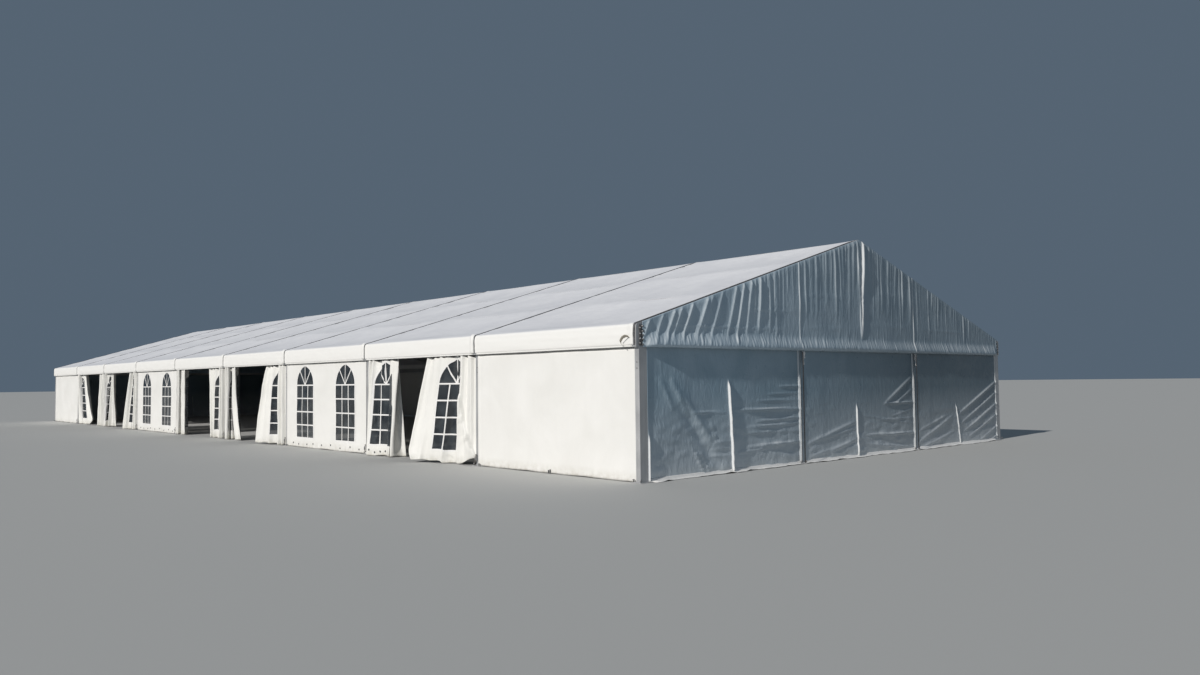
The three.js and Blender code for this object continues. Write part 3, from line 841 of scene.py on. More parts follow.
def foot_puckers(draw, places):
    """Short low folds that rise from the foot, where the cloth is tall enough for them."""
    for y in places:
        low = GABLE_HEM + draw.uniform(-60, 150)
        top = min(low + draw.uniform(160, 560), rake_height(y) - 60)
        if top > low + 60:
            lean = draw.uniform(-30, 30) + 0.5 * (top - low) * float(ease(-y, -1500, 2500))
            yield (y, low - 60, y + lean, top, draw.uniform(15, 24), draw.uniform(2, 6.5))


def rake_folds(seed):
    """All folds of a gable sheet as crease lines. Each kind has evenly spread places, which are
    then shaken."""
    draw = np.random.default_rng(seed)
    broad = np.linspace(-7150, -3300, 14) + draw.uniform(-90, 90, 14)
    narrow = np.linspace(-4300, 7300, 84) + draw.uniform(-60, 60, 84)
    soft = np.linspace(-2350, 2350, 16) + draw.uniform(-70, 70, 16)
    lines = [*soft_folds(draw, soft), *broad_folds(draw, broad), *narrow_folds(draw, narrow)]
    return lines + list(foot_puckers(draw, np.arange(-7300, 7320, 92) + draw.uniform(-34, 34, 159)))


print("crease lines on the near gable sheet:", len(rake_folds(11)))

# %% [markdown]
# The sheet was folded for storage, so straight level creases cross it. In its middle two lengths
# of cloth lap, and the lap hangs down from the ridge as a double fold. A seam runs down over each
# upright. The foot is puckered and goes out over the gable beam, but the two knees stay bare.

# %% Seams and creases of the gable sheets
BARE_KNEE = 80.0
OVER_BEAM = 74
GABLE_SEAMS = (-2500, 2500)
LAP = [(-120, 5230, -34, 3700, 24, 30), (-40, 3800, -6, 2760, 22, 28),
       (150, 5230, 66, 3650, 26, 52), (70, 3750, 26, 2760, 24, 44)]
STORED_CREASES = [(-6900, 2890, -2700, 2900, 18, 9), (-4300, 3290, -2600, 3310, 18, 10),
                  (-2400, 2960, -200, 2985, 18, 9), (-2300, 3700, -300, 3720, 16, 7),
                  (-2100, 3330, -500, 3345, 16, 6), (300, 3120, 2300, 3100, 18, 9),
                  (2700, 3080, 5600, 3060, 18, 8), (600, 3900, 2200, 3880, 16, 6)]


def gable_out(y, z, seed):
    """How far the gable cloth stands out: a gentle belly, rake folds, level creases, seams over
    the uprights, puckers in the lowest part and a smooth step out over the beam. Beside the rake
    the edge is held, so everything there is flatter."""
    folds = creases(y, z, rake_folds(seed), 1.6)
    level = creases(y, z, STORED_CREASES + LAP, 1.3)
    seams = sum(standing_fold(y - place, 14, 30, 12) for place in GABLE_SEAMS)
    low = 1 - ease(z, GABLE_HEM + 170, GABLE_HEM + 420)
    pucker = np.abs(swell(y, z * 0.12, seed + 5, 120, 5, 9)) * low
    belly = 7 + 5 * np.cos(math.tau * y / BAY) + swell(y, z, seed + 9, 1300, 6)
    held = 1 - 0.7 * ease(z - rake_height(y), -70, -5)
    over_beam = OVER_BEAM * (1 - ease(z, GABLE_HEM + 30, GABLE_HEM + 330))
    over_beam = over_beam * ease(z, GABLE_HEM - 40, GABLE_HEM + 50)
    over_beam = over_beam * ease(GABLE_HALF - BARE_KNEE - np.abs(y), -10, 260)
    return 5 + np.maximum(belly + folds + level + pucker, 0) * held + seams + over_beam


print("half way up, the cloth stands out", round(float(gable_out(500.0, 3600.0, 11))), "mm")

# %% [markdown]
# The sides of the folds that face the front and the sky get painted highlight, and the hollows stay
# darker. How white the cloth is can be worked out from its slope, so each point keeps that number
# for the finish to read. It would be slow and less exact to paint this by hand.

# %% Painted highlight on the folds and the edge at the rake
RAKE_EDGE = ((3, 5, 6), (8, 8, 12), (15, 8, 19), (22, 0, 29))


def lit_fold_highlight(out, y, z, strength):
    """Painted highlight: how white the cloth is at each point of a grid, in proportion to its slope
    towards the front and the sky: along - 0.55 * up, from 0.08 on."""
    along, up = np.gradient(out, axis=1) / np.gradient(y, axis=1), np.gradient(out, axis=0)
    facing = along - 0.55 * up / np.gradient(z, axis=0)
    return strength * np.clip((facing - 0.08) / 0.7, 0, 1)


def gable_part(side, seed, columns, rows):
    """The grid of a gable sheet, which leaves the knees bare. Its last rows turn inwards over
    the rafter, as the edge that slides into the rafter's groove does: each is a step inwards, a
    step up and a length of cloth. A side of -1 also turns the faces over."""
    reach, steps = GABLE_HALF - BARE_KNEE, int(columns * 0.33)
    beside = [(place + step, 7 if step > 0 else steps)
              for place in GABLE_SEAMS for step in (-30, 30)]
    y, share = np.meshgrid(spaced(-reach, *beside, (reach, steps)), np.linspace(0, 1, rows))
    rake = RIDGE - np.sqrt(y ** 2 + RIDGE_ROUND ** 2) * PITCH - 9
    z = GABLE_HEM + (rake - GABLE_HEM) * share
    out = gable_out(y, z, seed)
    points = gable_surface(y, z, out, side)
    edge = [points[-1:] + np.array([-side * inward, 0, lift]) for inward, lift, _ in RAKE_EDGE]
    points = np.concatenate([points, *edge])
    # white is painted highlight on the sides of the folds that face the light.
    white, uv_y = (np.concatenate([grid] + [grid[-1:]] * len(RAKE_EDGE))
                   for grid in (lit_fold_highlight(out, y, z, 0.65), y))
    uv_z = np.concatenate([z] + [z[-1:] + length for _, _, length in RAKE_EDGE])
    return (points, grid_faces(*uv_y.shape)[:, ::side], cloth_uv(uv_y, uv_z)), white


print("rows and columns of a small gable grid:", gable_part(1, 11, 30, 5)[1].shape)

# %% [markdown]
# The near gable is seen from close by, so its grid has nearly three times as many columns as the
# far one's. Painted highlight along the seams and on the edge of the lap is added to that on the
# lit sides of the folds. Solidify then gives the sheet its thickness.

# %% Gable sheets
LAP_HEIGHTS, LAP_PLACES = (2760, 3750, 5230), (22, 58, 140)
for end, side, seed, columns, rows in (("near", 1, 11, 860, 46), ("far", -1, 12, 300, 30)):
    part, painted_highlight = gable_part(side, seed, columns, rows)
    y, z = part[0][..., 1], part[0][..., 2]
    # Painted highlight along the seams and on the edge of the lap.
    painted_highlight += 0.1 * sum(np.exp(-((y + 5 - place) / 13) ** 2) for place in GABLE_SEAMS)
    lap_edge = np.interp(z, LAP_HEIGHTS, LAP_PLACES)
    painted_highlight += 0.6 * np.exp(-((y + 24 - lap_edge) / 20) ** 2) * ease(z, 2760, 3000)
    sheet = make_piece(f"{end}_gable_cloth", part, gable_cloth, thick=3.0,
                       stands_for=[f"{end}_gable_sheet"], webbing=painted_highlight)

# %% [markdown]
# Strips of webbing, window bars and hems lie on the cloth and follow its every fold. A strip is
# a path on the flat cloth with a width. Its grid is worked out on the flat and then sent through
# the same surface formula as the cloth, a little further out.

# %% Strips that follow a surface


def strip(surface, path, width, lift):
    """A band along a path of (a, b) places on a surface: lift is how far its middle stands over
    the cloth; its edges come down to the cloth as a half sine does."""
    path = np.asarray(path, float)
    along = np.gradient(path, axis=0)
    along /= np.linalg.norm(along, axis=1, keepdims=True)
    aside = np.stack([along[:, 1], -along[:, 0]], axis=1)
    share = np.linspace(-0.5, 0.5, 5)
    places = path[:, None] + aside[:, None] * (share * width)[None, :, None]
    rise = lift * (0.35 + 0.65 * np.cos(np.pi * share)) + np.zeros((len(path), 1))
    a, b = places[..., 0], places[..., 1]
    return surface(a, b, rise), grid_faces(*a.shape)[:, ::-1], places / 1000


def straight(start, end, steps):
    """A straight path with that many steps."""
    share = np.linspace(0, 1, steps + 1)[:, None]
    return np.asarray(start) * (1 - share) + np.asarray(end) * share


print("a straight path in two steps:", straight((0, 0), (10, 4), 2).tolist())

# %% [markdown]
# The gable walls hang from the gable beam and are tied down at their feet. The ties pull long
# slanting folds from the posts down to the hem, and an old storage crease runs level across each
# wall. These folds are placed from the picture, wall by wall, and the far end gets them too. One
# factor then makes all of them deeper.

# %% Folds of the gable walls
GABLE_WALL_FACE = box_mm("near_gable_wall_1")[1][0]
WALL_FOLDS = {
    1: [(-6120, 1220, -5020, 1190, 14, 14), (-4770, 1230, -2480, 1190, 16, 30),
        (-3300, 1680, -2500, 1680, 18, 12), (-3750, 1520, -2500, 1540, 16, 9),
        (-4100, 1390, -2500, 1380, 16, 12), (-4100, 970, -2500, 1010, 20, 15),
        (-4440, 860, -2500, 890, 22, 14), (-4570, 750, -2500, 720, 18, 10),
        (-4440, 460, -2500, 490, 24, 22), (-4770, 360, -3210, 440, 22, 12),
        (-5520, 470, -4940, 470, 16, 10), (-5480, 620, -4940, 610, 14, 8),
        (-5560, 350, -4940, 330, 16, 10), (-6050, 550, -5700, 10, 20, 18),
        (-5860, 470, -5600, 50, 14, 12), (-5480, 970, -5350, 560, 16, 10),
        (-6650, 1880, -6190, 1150, 60, 16), (-6960, 1930, -6610, 1280, 50, 12),
        (-6440, 1680, -5480, 620, 80, 18), (-6440, 1400, -5250, 50, 120, -18)],
    2: [(-2300, 400, -270, 830, 40, 16), (-1750, 470, -310, 680, 26, 13),
        (-1430, 190, -240, 420, 30, 15), (-2250, 110, -1170, 270, 30, 10),
        (2430, 1880, 990, 1180, 28, 18), (2430, 1560, 1500, 1170, 18, 12),
        (1050, 1210, 2500, 1220, 14, 28), (-100, 970, 2500, 660, 16, 9),
        (130, 480, 2500, 440, 20, 30), (-40, 290, 2430, 70, 26, 13),
        (610, 810, 2500, 820, 14, 11), (2430, 1060, 1300, 880, 14, 10)],
    3: [(7610, 1800, 4840, 790, 26, 22), (7610, 1490, 5000, 540, 20, 18),
        (7610, 1170, 5210, 330, 22, 20), (7610, 840, 5460, 160, 20, 18),
        (7610, 510, 6130, 20, 18, 16), (7610, 230, 6690, -40, 16, 12),
        (2600, 150, 4610, 810, 34, 16), (2600, 440, 4330, 850, 20, 12),
        (2780, 10, 4680, 380, 24, 13)],
}
FOLD_DEPTH = 1.7
print("folds on the gable walls:", {k: len(folds) for k, folds in WALL_FOLDS.items()})

# %% [markdown]
# Two widths of cloth are sewn together in the middle of each wall. Where the wall hangs slack the
# seam stands out like a fin, and painted highlight makes it white. Every seam is a line given by
# its two ends, read from the picture.

# %% Seams of the gable walls
WALL_SEAMS = {1: (-4960, 1870, -4850, -300), 2: (-240, 1290, -220, -300),
              3: (4760, 1170, 5060, -300)}
SEAM_HEIGHTS = {1: 48, 2: 30, 3: 24}
# How strongly painted highlight whitens the seam of each wall.
SEAM_HIGHLIGHT = {1: 1.0, 2: 0.6, 3: 0.3}


def seam_place(seam, z):
    """Where a wall's middle seam is at height z: on the line through its ends, and straight up
    over its upper end."""
    y0, z0, y1, z1 = seam
    return y0 + (y1 - y0) * (np.minimum(z, z0) - z0) / (z1 - z0)


print("wall seams at a height of 900 mm:",
      [round(float(seam_place(seam, 900.0))) for seam in WALL_SEAMS.values()])

# %% [markdown]
# Beside each post a wall ends in a thin bead and steps out over the post's edge. At the front
# corner the foot of the edge has come loose and curls outwards. One surface formula adds this up
# with the folds, the waves and the fin.

# %% Surface of a gable wall
EDGE_BEAD, BEAD_TOP = 15.0, 2050
LOOSE_EDGE, LOOSE_TOP = 30.0, 1000
LAP_OUT = 17
POST_STEP, LEG_STEP = (38, 66), (12, 34)


def gable_wall_surface(side, low, high, k, seed):
    """The surface of gable wall k for (y, z): its own creases, level waves that grow towards the
    floor, a fin along the middle seam, a beaded edge beside the post, a lap over the posts and,
    at the foot of the first wall, an edge that has come loose and stands out."""
    low_step, high_step = (POST_STEP if at_post else LEG_STEP for at_post in (k > 1, k < 3))
    seam = WALL_SEAMS[k]

    def surface(y, z):
        lap = np.maximum(1 - ease(y - low, *low_step), 1 - ease(high - y, *high_step))
        down = 1 - z / WALL_TOP
        waves = swell((y - low) * 0.35, z, seed, 240, 6.5) * ease(down, 0.3, 0.85)
        small = swell(y, z * 1.6, seed + 6, 190, 2.0) * ease(down, 0.35, 0.7)
        slack = np.maximum(waves + small + swell(y, z, seed + 3, 1500, 7), -2)
        slack = slack * ease(np.minimum(y - low, high - y), 0, 260)
        fin = standing_fold(y - seam_place(seam, z), 12, 42, SEAM_HEIGHTS[k])
        fin = fin * ease(seam[1] - z, 0, 220)
        bead = standing_fold(y - high + EDGE_BEAD, 9, 12, 12) * ease(BEAD_TOP - z, 0, 300)
        loose = standing_fold(y - low - LOOSE_EDGE, 12, 16, 42) * ease(LOOSE_TOP - z, 0, 300)
        out = 4 + LAP_OUT * lap + slack + FOLD_DEPTH * creases(y, z, WALL_FOLDS[k], 1.5)
        out = out + fin + bead * (k < 3) + loose * (k < 2)
        wavy = z + swell(y, y * 0, seed + 7, 900, 6) * down ** 6
        return gable_surface(y, np.maximum(wavy, 3), out + GABLE_WALL_FACE - GABLE_FACE, side)
    return surface


first_wall = gable_wall_surface(1, -GABLE_HALF, GABLE_SEAMS[0], 1, 211)
print("a point of the first wall:", first_wall(-6000.0, 900.0).round().tolist())

# %% [markdown]
# The columns of each wall's grid are close together at the edges and along the seam, and they lean
# with the seam, so that the thin fin comes out clean. Painted highlight is added along the fin, the
# bead and the loose edge, and on the lit sides of the folds.

# %% Gable walls
POST_GAP = 32.0


def wall_grid(low, high, top, seam, columns, rows):
    """(y, z) of a gable wall, with close columns beside its edges and along its seam. The columns
    bend with the seam, so that the fin is clean."""
    middle = float(seam_place(seam, 900.0))
    share = (middle - low) / (high - low)
    places = spaced(low, (low + 90, 12), (middle - 90, int(columns * share)), (middle + 90, 18),
                    (high - 70, int(columns * (1 - share))), (high, 10))
    y, z = np.meshgrid(places, spaced(HEM, (140, 7), (top, rows)))
    return y + (seam_place(seam, z) - middle) * (1 - ease(np.abs(y - middle), 90, 700)), z


for end, side, columns, rows in (("near", 1, 88, 90), ("far", -1, 48, 46)):
    for k, seam in WALL_SEAMS.items():
        low_box, high_box = box_mm(f"{end}_gable_wall_{k}")
        low = low_box[1] - (POST_GAP if k > 1 else 0)
        high = high_box[1] + (POST_GAP if k < 3 else 0)
        top = high_box[2]
        y, z = wall_grid(low, high, top, seam, columns, rows)
        points = gable_wall_surface(side, low, high, k, 200 + 10 * k + side)(y, z)
        part = points, grid_faces(*y.shape)[:, ::side], cloth_uv(y, z)
        # Painted highlight along the seam, on the lit sides of the folds, on the loose edge and on
        # the bead.
        painted_highlight = np.exp(-((y + 6 - seam_place(seam, z)) / 15) ** 2) * ease(seam[1] - z, 0, 220)
        painted_highlight = SEAM_HIGHLIGHT[k] * painted_highlight + lit_fold_highlight(side * points[..., 0], y, z, 0.8)
        if k < 2:
            painted_highlight += (np.exp(-((y - low - LOOSE_EDGE + 6) / 14) ** 2)
                      * ease(LOOSE_TOP - z, 0, 300))
        if k < 3:
            painted_highlight += (0.7 * np.exp(-((y + 3 - high + EDGE_BEAD) / 9) ** 2)
                      * ease(BEAD_TOP - z, 0, 300))
        wall = make_piece(f"{end}_gable_wall_cloth_{k}", part, gable_wall_cloth_painted_shade,
                          thick=2.5, stands_for=[f"{end}_gable_wall_{k}"], webbing=painted_highlight)

# %% [markdown]
# Between two gable walls a strip of the post shows, with the groove that the beaded edges run in.
# It is a shallow channel, one section carried straight up, and its near-black colour is painted
# shade in the gap between the walls. A separate dull piece is enough here, because cutting the
# groove into the packed post would change the model.

# %% Grooves of the gable posts
POST_SECTION = np.array([(-24, 0), (-20, 3), (-8, 3), (-5, -2),
                         (5, -2), (8, 3), (20, 3), (24, 0)], float)


def post_groove(side, y, face):
    """The groove that shows between two walls, its near-black colour painted shade: a shallow
    channel up the middle of a post.
    """
    across, z = np.meshgrid(POST_SECTION[:, 0], np.linspace(20, WALL_TOP - 30, 12))
    out = side * (face + 1 + np.broadcast_to(POST_SECTION[:, 1], z.shape))
    points = np.stack([out, y + across, z], axis=-1)
    return points, grid_faces(*z.shape)[:, ::side], cloth_uv(across, z)


post_face = box_mm("near_gable_upright_1")[1][0]
grooves = [post_groove(side, y, post_face) for side in (1, -1) for y in GABLE_SEAMS]
make_piece("post_grooves", joined(grooves), dirt_and_shade_metal)

# %% [markdown]
# A strip of cloth at the foot of the gable walls lies out on the floor and keeps draughts and
# rain out. It comes down in a small curve, runs flat to a wavy outer edge and has low puckers.

# %% Strips along the foot of the gable walls
STRIP_REACH, STRIP_TOP, STRIP_FLAT = 150, 62, 192


def ground_strip(side, low, high, seed):
    """The strip at the foot of a gable wall: down to the floor in a small curve and then flat,
    with an uneven outer edge and a few low puckers."""
    y, share = np.meshgrid(np.linspace(low, high, 90), np.linspace(0, 1, 9))
    reach = STRIP_REACH + swell(y, y * 0, seed, 900, 42)
    out = reach * share ** 1.3 - 3
    puckers = np.abs(swell(y, out * 0.4, seed + 1, 170, 15)) * share
    z = 5 + STRIP_TOP * (1 - ease(share, 0, 0.36)) + puckers
    points = np.stack([side * (GABLE_WALL_FACE + 6 + out), y, z], axis=-1)
    return points, grid_faces(*y.shape)[:, ::-side], cloth_uv(y, share * STRIP_REACH)


for end, side in (("near", 1), ("far", -1)):
    reach = box_mm(f"{end}_gable_wall_3")[1][1] - 40
    piece = make_piece(f"{end}_ground_strip", ground_strip(side, -reach, reach, 340 + side),
                       trim_cloth, thick=2.0)

# %% [markdown]
# The walls of the long sides hang between two legs and lap over their outer faces, where their
# beaded edges run in the legs' grooves. They are nearly flat in the sun, with faint upright
# waves. Wall surfaces take the distance from the near leg and the height, so that the windows
# can be drawn on the flat cloth.

# %% Side wall surface
WALL_STEP, STEP_FROM, STEP_TO = 18, 24, 62


def wall_out(s, z, wide, seed, strength, laps):
    """How far a side wall stands out: faint upright waves, a gentle belly, and at each leg that
    it laps over, a step outwards in front of the leg's face."""
    waves = swell(s, z * 0.08, seed, 480, 3.2 * strength)
    waves = waves + swell(s, z, seed + 1, 1400, 4.5 * strength)
    step = sum(WALL_STEP * lap * (1 - ease(away, STEP_FROM, STEP_TO))
               for away, lap in zip((s, wide - s), laps))
    foot = swell(s, z * 0, seed + 2, 700, 7) * (1 - ease(z, 0, 420))
    slack = (np.maximum(waves, -3) + foot) * ease(np.minimum(s, wide - s), 0, 240)
    return 2 + step + slack


def side_surface(start, wide, seed, strength, laps, face, side=-1):
    """The surface of a side wall whose near edge is at x = start: s runs from there to the far
    leg. side is -1 for the front and +1 for the back."""
    def surface(s, z, lift):
        out = wall_out(s, z, wide, seed, strength, laps) + lift
        wavy = np.maximum(z + swell(s, s * 0, seed + 4, 1100, 7) * (1 - z / WALL_TOP) ** 8, 3)
        return np.stack(np.broadcast_arrays(start - s, side * (face + out), wavy), axis=-1)
    return surface


trial_wall = side_surface(frame_x(0), BAY, 401, 1.0, (True, True), WALL_FACE)
print("a lapped edge is at y =", round(float(trial_wall(0.0, 1000.0, 0.0)[1])), "mm")

# %% [markdown]
# Each window is an upright sheet of film under a low pointed arch, three panes wide and four tall,
# with a fan of bars in the arch. All are alike, so one set of sizes serves the walls and the
# curtains. The arch is two arcs of circles, which is how such a window is marked out by hand.

# %% Size and arch of a window
WINDOW_WIDE, SILL, SPRING, RISE = 1120.0, 280.0, 1820.0, 580.0
HALF_WINDOW = WINDOW_WIDE / 2
POINT = 0.22


def arch(across):
    """The height of the arch over its spring, from two arcs that meet in a low point: each is
    part of a circle whose centre lies a little past the middle of the window."""
    across = np.clip(np.abs(across), 0, 1)
    full = math.sqrt((1 + POINT) ** 2 - POINT ** 2)
    return RISE * np.sqrt(np.maximum((1 + POINT) ** 2 - (across + POINT) ** 2, 0)) / full


print("the arch is", round(float(arch(0.0))), "mm high in its middle")

# %% [markdown]
# The rows of a wall's grid bend to follow the arch, so that the opening has a clean edge. Cutting
# it out with a boolean would leave ragged, uneven faces there. The grid also says which of its
# cells are window, and the wall leaves those out.

# %% Grid of a wall with windows
COLUMN_STEP, PANE_COLUMNS = 70, 18


def window_columns(wide, centres):
    """Places of the grid's columns along a wall, close together in its windows."""
    stops, last = [], 0.0
    for centre in centres:
        left, right = centre - HALF_WINDOW, centre + HALF_WINDOW
        stops += [(left, int((left - last) / COLUMN_STEP)), (right, PANE_COLUMNS)]
        last = right
    return spaced(0.0, *stops, (wide, int((wide - last) / COLUMN_STEP)))


def window_grid(columns, centres, rows=(8, 26, 12)):
    """(s, z) of a wall with windows and which cells are window. rows says how many lie below the
    sill, beside the windows and above them. Over the sill they rise with every window's head."""
    head = np.full(columns.shape, SPRING)
    inside = np.zeros(len(columns) - 1, bool)
    middles = (columns[:-1] + columns[1:]) / 2
    for centre in centres:
        over = np.abs(columns - centre) <= HALF_WINDOW + 1
        head = head + arch((columns - centre) / HALF_WINDOW) * over
        inside |= np.abs(middles - centre) < HALF_WINDOW
    below, beside = rows[:2]
    share = [np.linspace(0, 1, n + 1)[:, None] for n in rows]
    z = np.concatenate([HEM + (SILL - HEM) * share[0][:-1] + 0 * head,
                        SILL + (head - SILL) * share[1][:-1],
                        head + (WALL_TOP - head) * share[2]])
    level = np.arange(sum(rows))
    is_row = (level >= below) & (level < below + beside)
    return np.broadcast_to(columns, z.shape), z, is_row[:, None] & inside[None, :]


trial_grid = window_grid(window_columns(BAY, [BAY / 4]), [BAY / 4])
print("cells left out for a window:", int(trial_grid[2].sum()), "of", trial_grid[2].size)

# %% [markdown]
# The film is welded on behind the cloth with a small lap, so it reaches past the opening on all
# sides. It is drawn on the flat wall and sent through the wall's own surface formula, so that it
# follows every wave by itself.

# %% Film of the windows
FILM_LAP = 14.0
FILM_BEHIND = -5.0


def film_part(surface, centre, steps=18):
    """The film of one window, a little larger than its opening and just behind the cloth."""
    across = np.linspace(-1, 1, steps + 1)
    head = SPRING + arch(across) + FILM_LAP
    share = np.linspace(0, 1, 27)[:, None]
    z = (SILL - FILM_LAP) + (head - SILL + FILM_LAP) * share
    s = np.broadcast_to(centre + across * (HALF_WINDOW + FILM_LAP), z.shape)
    return surface(s, z, FILM_BEHIND), grid_faces(*z.shape), cloth_uv(s, z)


print("rows and columns of a film:", film_part(trial_wall, BAY / 4)[0].shape[:2])

# %% [markdown]
# A welt runs round each opening, and flat bars of white cloth are welded over the film. They are
# strips on the same flat wall, so each one is only a path: up the sides and over the arch, level
# across the panes, or out from the middle of the fan.

# %% Welts and bars of the windows
BARS_OVER = 5.0
BARS = (660.0, 1045.0, 1435.0, SPRING)
WELT = 44.0
BAR = 36.0
FAN = (-39, 0, 39)


def fan_bar(centre, angle):
    """The path of one bar of the fan: from the middle of the spring line to where a line at that
    angle from upright meets the arch."""
    end = (centre, SPRING + RISE)
    if angle:
        way = math.tan(math.radians(angle))
        reach = np.linspace(0, HALF_WINDOW, 200)
        height = SPRING + reach / abs(way)
        met = int(np.argmax(height > SPRING + arch(reach / HALF_WINDOW)))
        end = (centre + math.copysign(reach[met], way), float(height[met]))
    return straight((centre, SPRING), end, 14)


def bar_parts(surface, centre):
    """The welt round one window and its bars, as strips: two uprights, four level bars and a
    fan from the middle of the spring line to the arch."""
    left, right = centre - HALF_WINDOW, centre + HALF_WINDOW
    bend = np.sin(np.linspace(-1, 1, 41) * math.pi / 2)
    head = np.stack([centre + bend * HALF_WINDOW, SPRING + arch(bend)], axis=1)
    outline = np.concatenate([straight((left, SILL), (left, SPRING), 30)[:-1], head,
                              straight((right, SPRING), (right, SILL), 30)[1:]])
    bars = [straight((left, z), (right, z), 20) for z in BARS]
    bars += [straight((centre + x, SILL), (centre + x, SPRING), 30)
             for x in (-HALF_WINDOW / 3, HALF_WINDOW / 3)]
    bars += [fan_bar(centre, angle) for angle in FAN]
    welts = [outline, straight((left, SILL), (right, SILL), 20)]
    return ([strip(surface, path, WELT, BARS_OVER) for path in welts]
            + [strip(surface, path, BAR, BARS_OVER) for path in bars])


print("strips on a window:", len(bar_parts(trial_wall, BAY / 4)))

# %% [markdown]
# Four of the nine bays of the front are closed by walls: two plain ones at the ends and two with a
# pair of windows. A wall laps over each leg that it shares with another bay. The walls with
# windows are also tied down, by dark rubber eyelets along the hem.

# %% Plain and window walls of the front
LEG_SIDE = 56.6
LEG_LAP = 21.0
WALL_EYELETS = np.array([120, 420, 900, 1500, 2050, 2620, 3180, 3560, 4120, 4480])
eyelets = []
for bay, strength in ((1, 0.8), (9, 1.9), (3, 1.0), (6, 1.1)):
    laps = (bay > 1, bay < BAYS)
    near_edge = frame_x(bay - 1) - (LEG_SIDE - LEG_LAP * laps[0])
    far_edge = frame_x(bay) + LEG_SIDE - LEG_LAP * laps[1]
    wide = near_edge - far_edge
    surface = side_surface(near_edge, wide, 400 + bay, strength, laps, WALL_FACE)
    centres = []
    if bay in (3, 6):
        centres = [near_edge - (frame_x(bay - 1) - share * BAY) for share in (0.25, 0.75)]
        s, z, window = window_grid(window_columns(wide, centres), centres)
        part = surface(s, z, 0.0), grid_faces(*z.shape, kept=~window), cloth_uv(s, z)
    else:
        s, z = np.meshgrid(spaced(0, (80, 6), (wide - 80, 70), (wide, 6)),
                           spaced(HEM, (300, 7), (WALL_TOP, 30)))
        part = surface(s, z, 0.0), grid_faces(*z.shape), cloth_uv(s, z)
    node = f"window_wall_{bay}" if centres else f"front_wall_{bay}"
    wall = make_piece(f"side_wall_cloth_{bay}", part, wall_cloth,
                      thick=2.5, stands_for=[node])
    pieces = []
    if centres:
        films = joined([film_part(surface, centre) for centre in centres])
        pieces.append(make_piece(f"window_film_{bay}", films, film,
                                 stands_for=[f"window_sheet_{bay}"]))
        bars = joined([strips for centre in centres for strips in bar_parts(surface, centre)])
        pieces.append(make_piece(f"window_bars_{bay}", bars, trim_cloth))
        eyelets.append(surface(WALL_EYELETS, 118 + 26 * np.sin(WALL_EYELETS), 4.0))

# %% [markdown]
# The back does not show in the picture. Nine plain walls are the usual way to close it, one a
# bay, and each is a little wider than its bay, so that it overlaps its neighbours. They are made
# by the same formula as the front walls, with other seeds, so no two walls are alike.

# %% Back walls
BACK_FACE = box_mm("back_wall")[0][1] + 3
BACK_LAP = 30
for bay in range(1, BAYS + 1):
    near_edge = frame_x(bay - 1) - BACK_LAP
    wide = near_edge - (frame_x(bay) + BACK_LAP)
    surface = side_surface(near_edge, wide, 500 + bay, 1.2, (False, False), BACK_FACE, side=1)
    s, z = np.meshgrid(spaced(0, (wide, 44)), spaced(HEM, (WALL_TOP, 20)))
    part = surface(s, z, 0.0), grid_faces(*z.shape)[:, ::-1], cloth_uv(s, z)
    wall = make_piece(f"back_wall_cloth_{bay}", part, wall_cloth, thick=2.5,
                      stands_for=["back_wall"] if bay == 1 else ())

# %% [markdown]
# A door curtain is half a bay of cloth with a window, pushed back to its post along a rail. Each
# one hangs differently. So for every curtain the places of seven upright lines of the cloth are
# written down at the rail and at the hem, in millimetres along the wall from the post and out
# from it, as read from the picture. So is how many waves lie between each two lines. A cloth
# simulation could find such shapes by itself, but not these very folds.

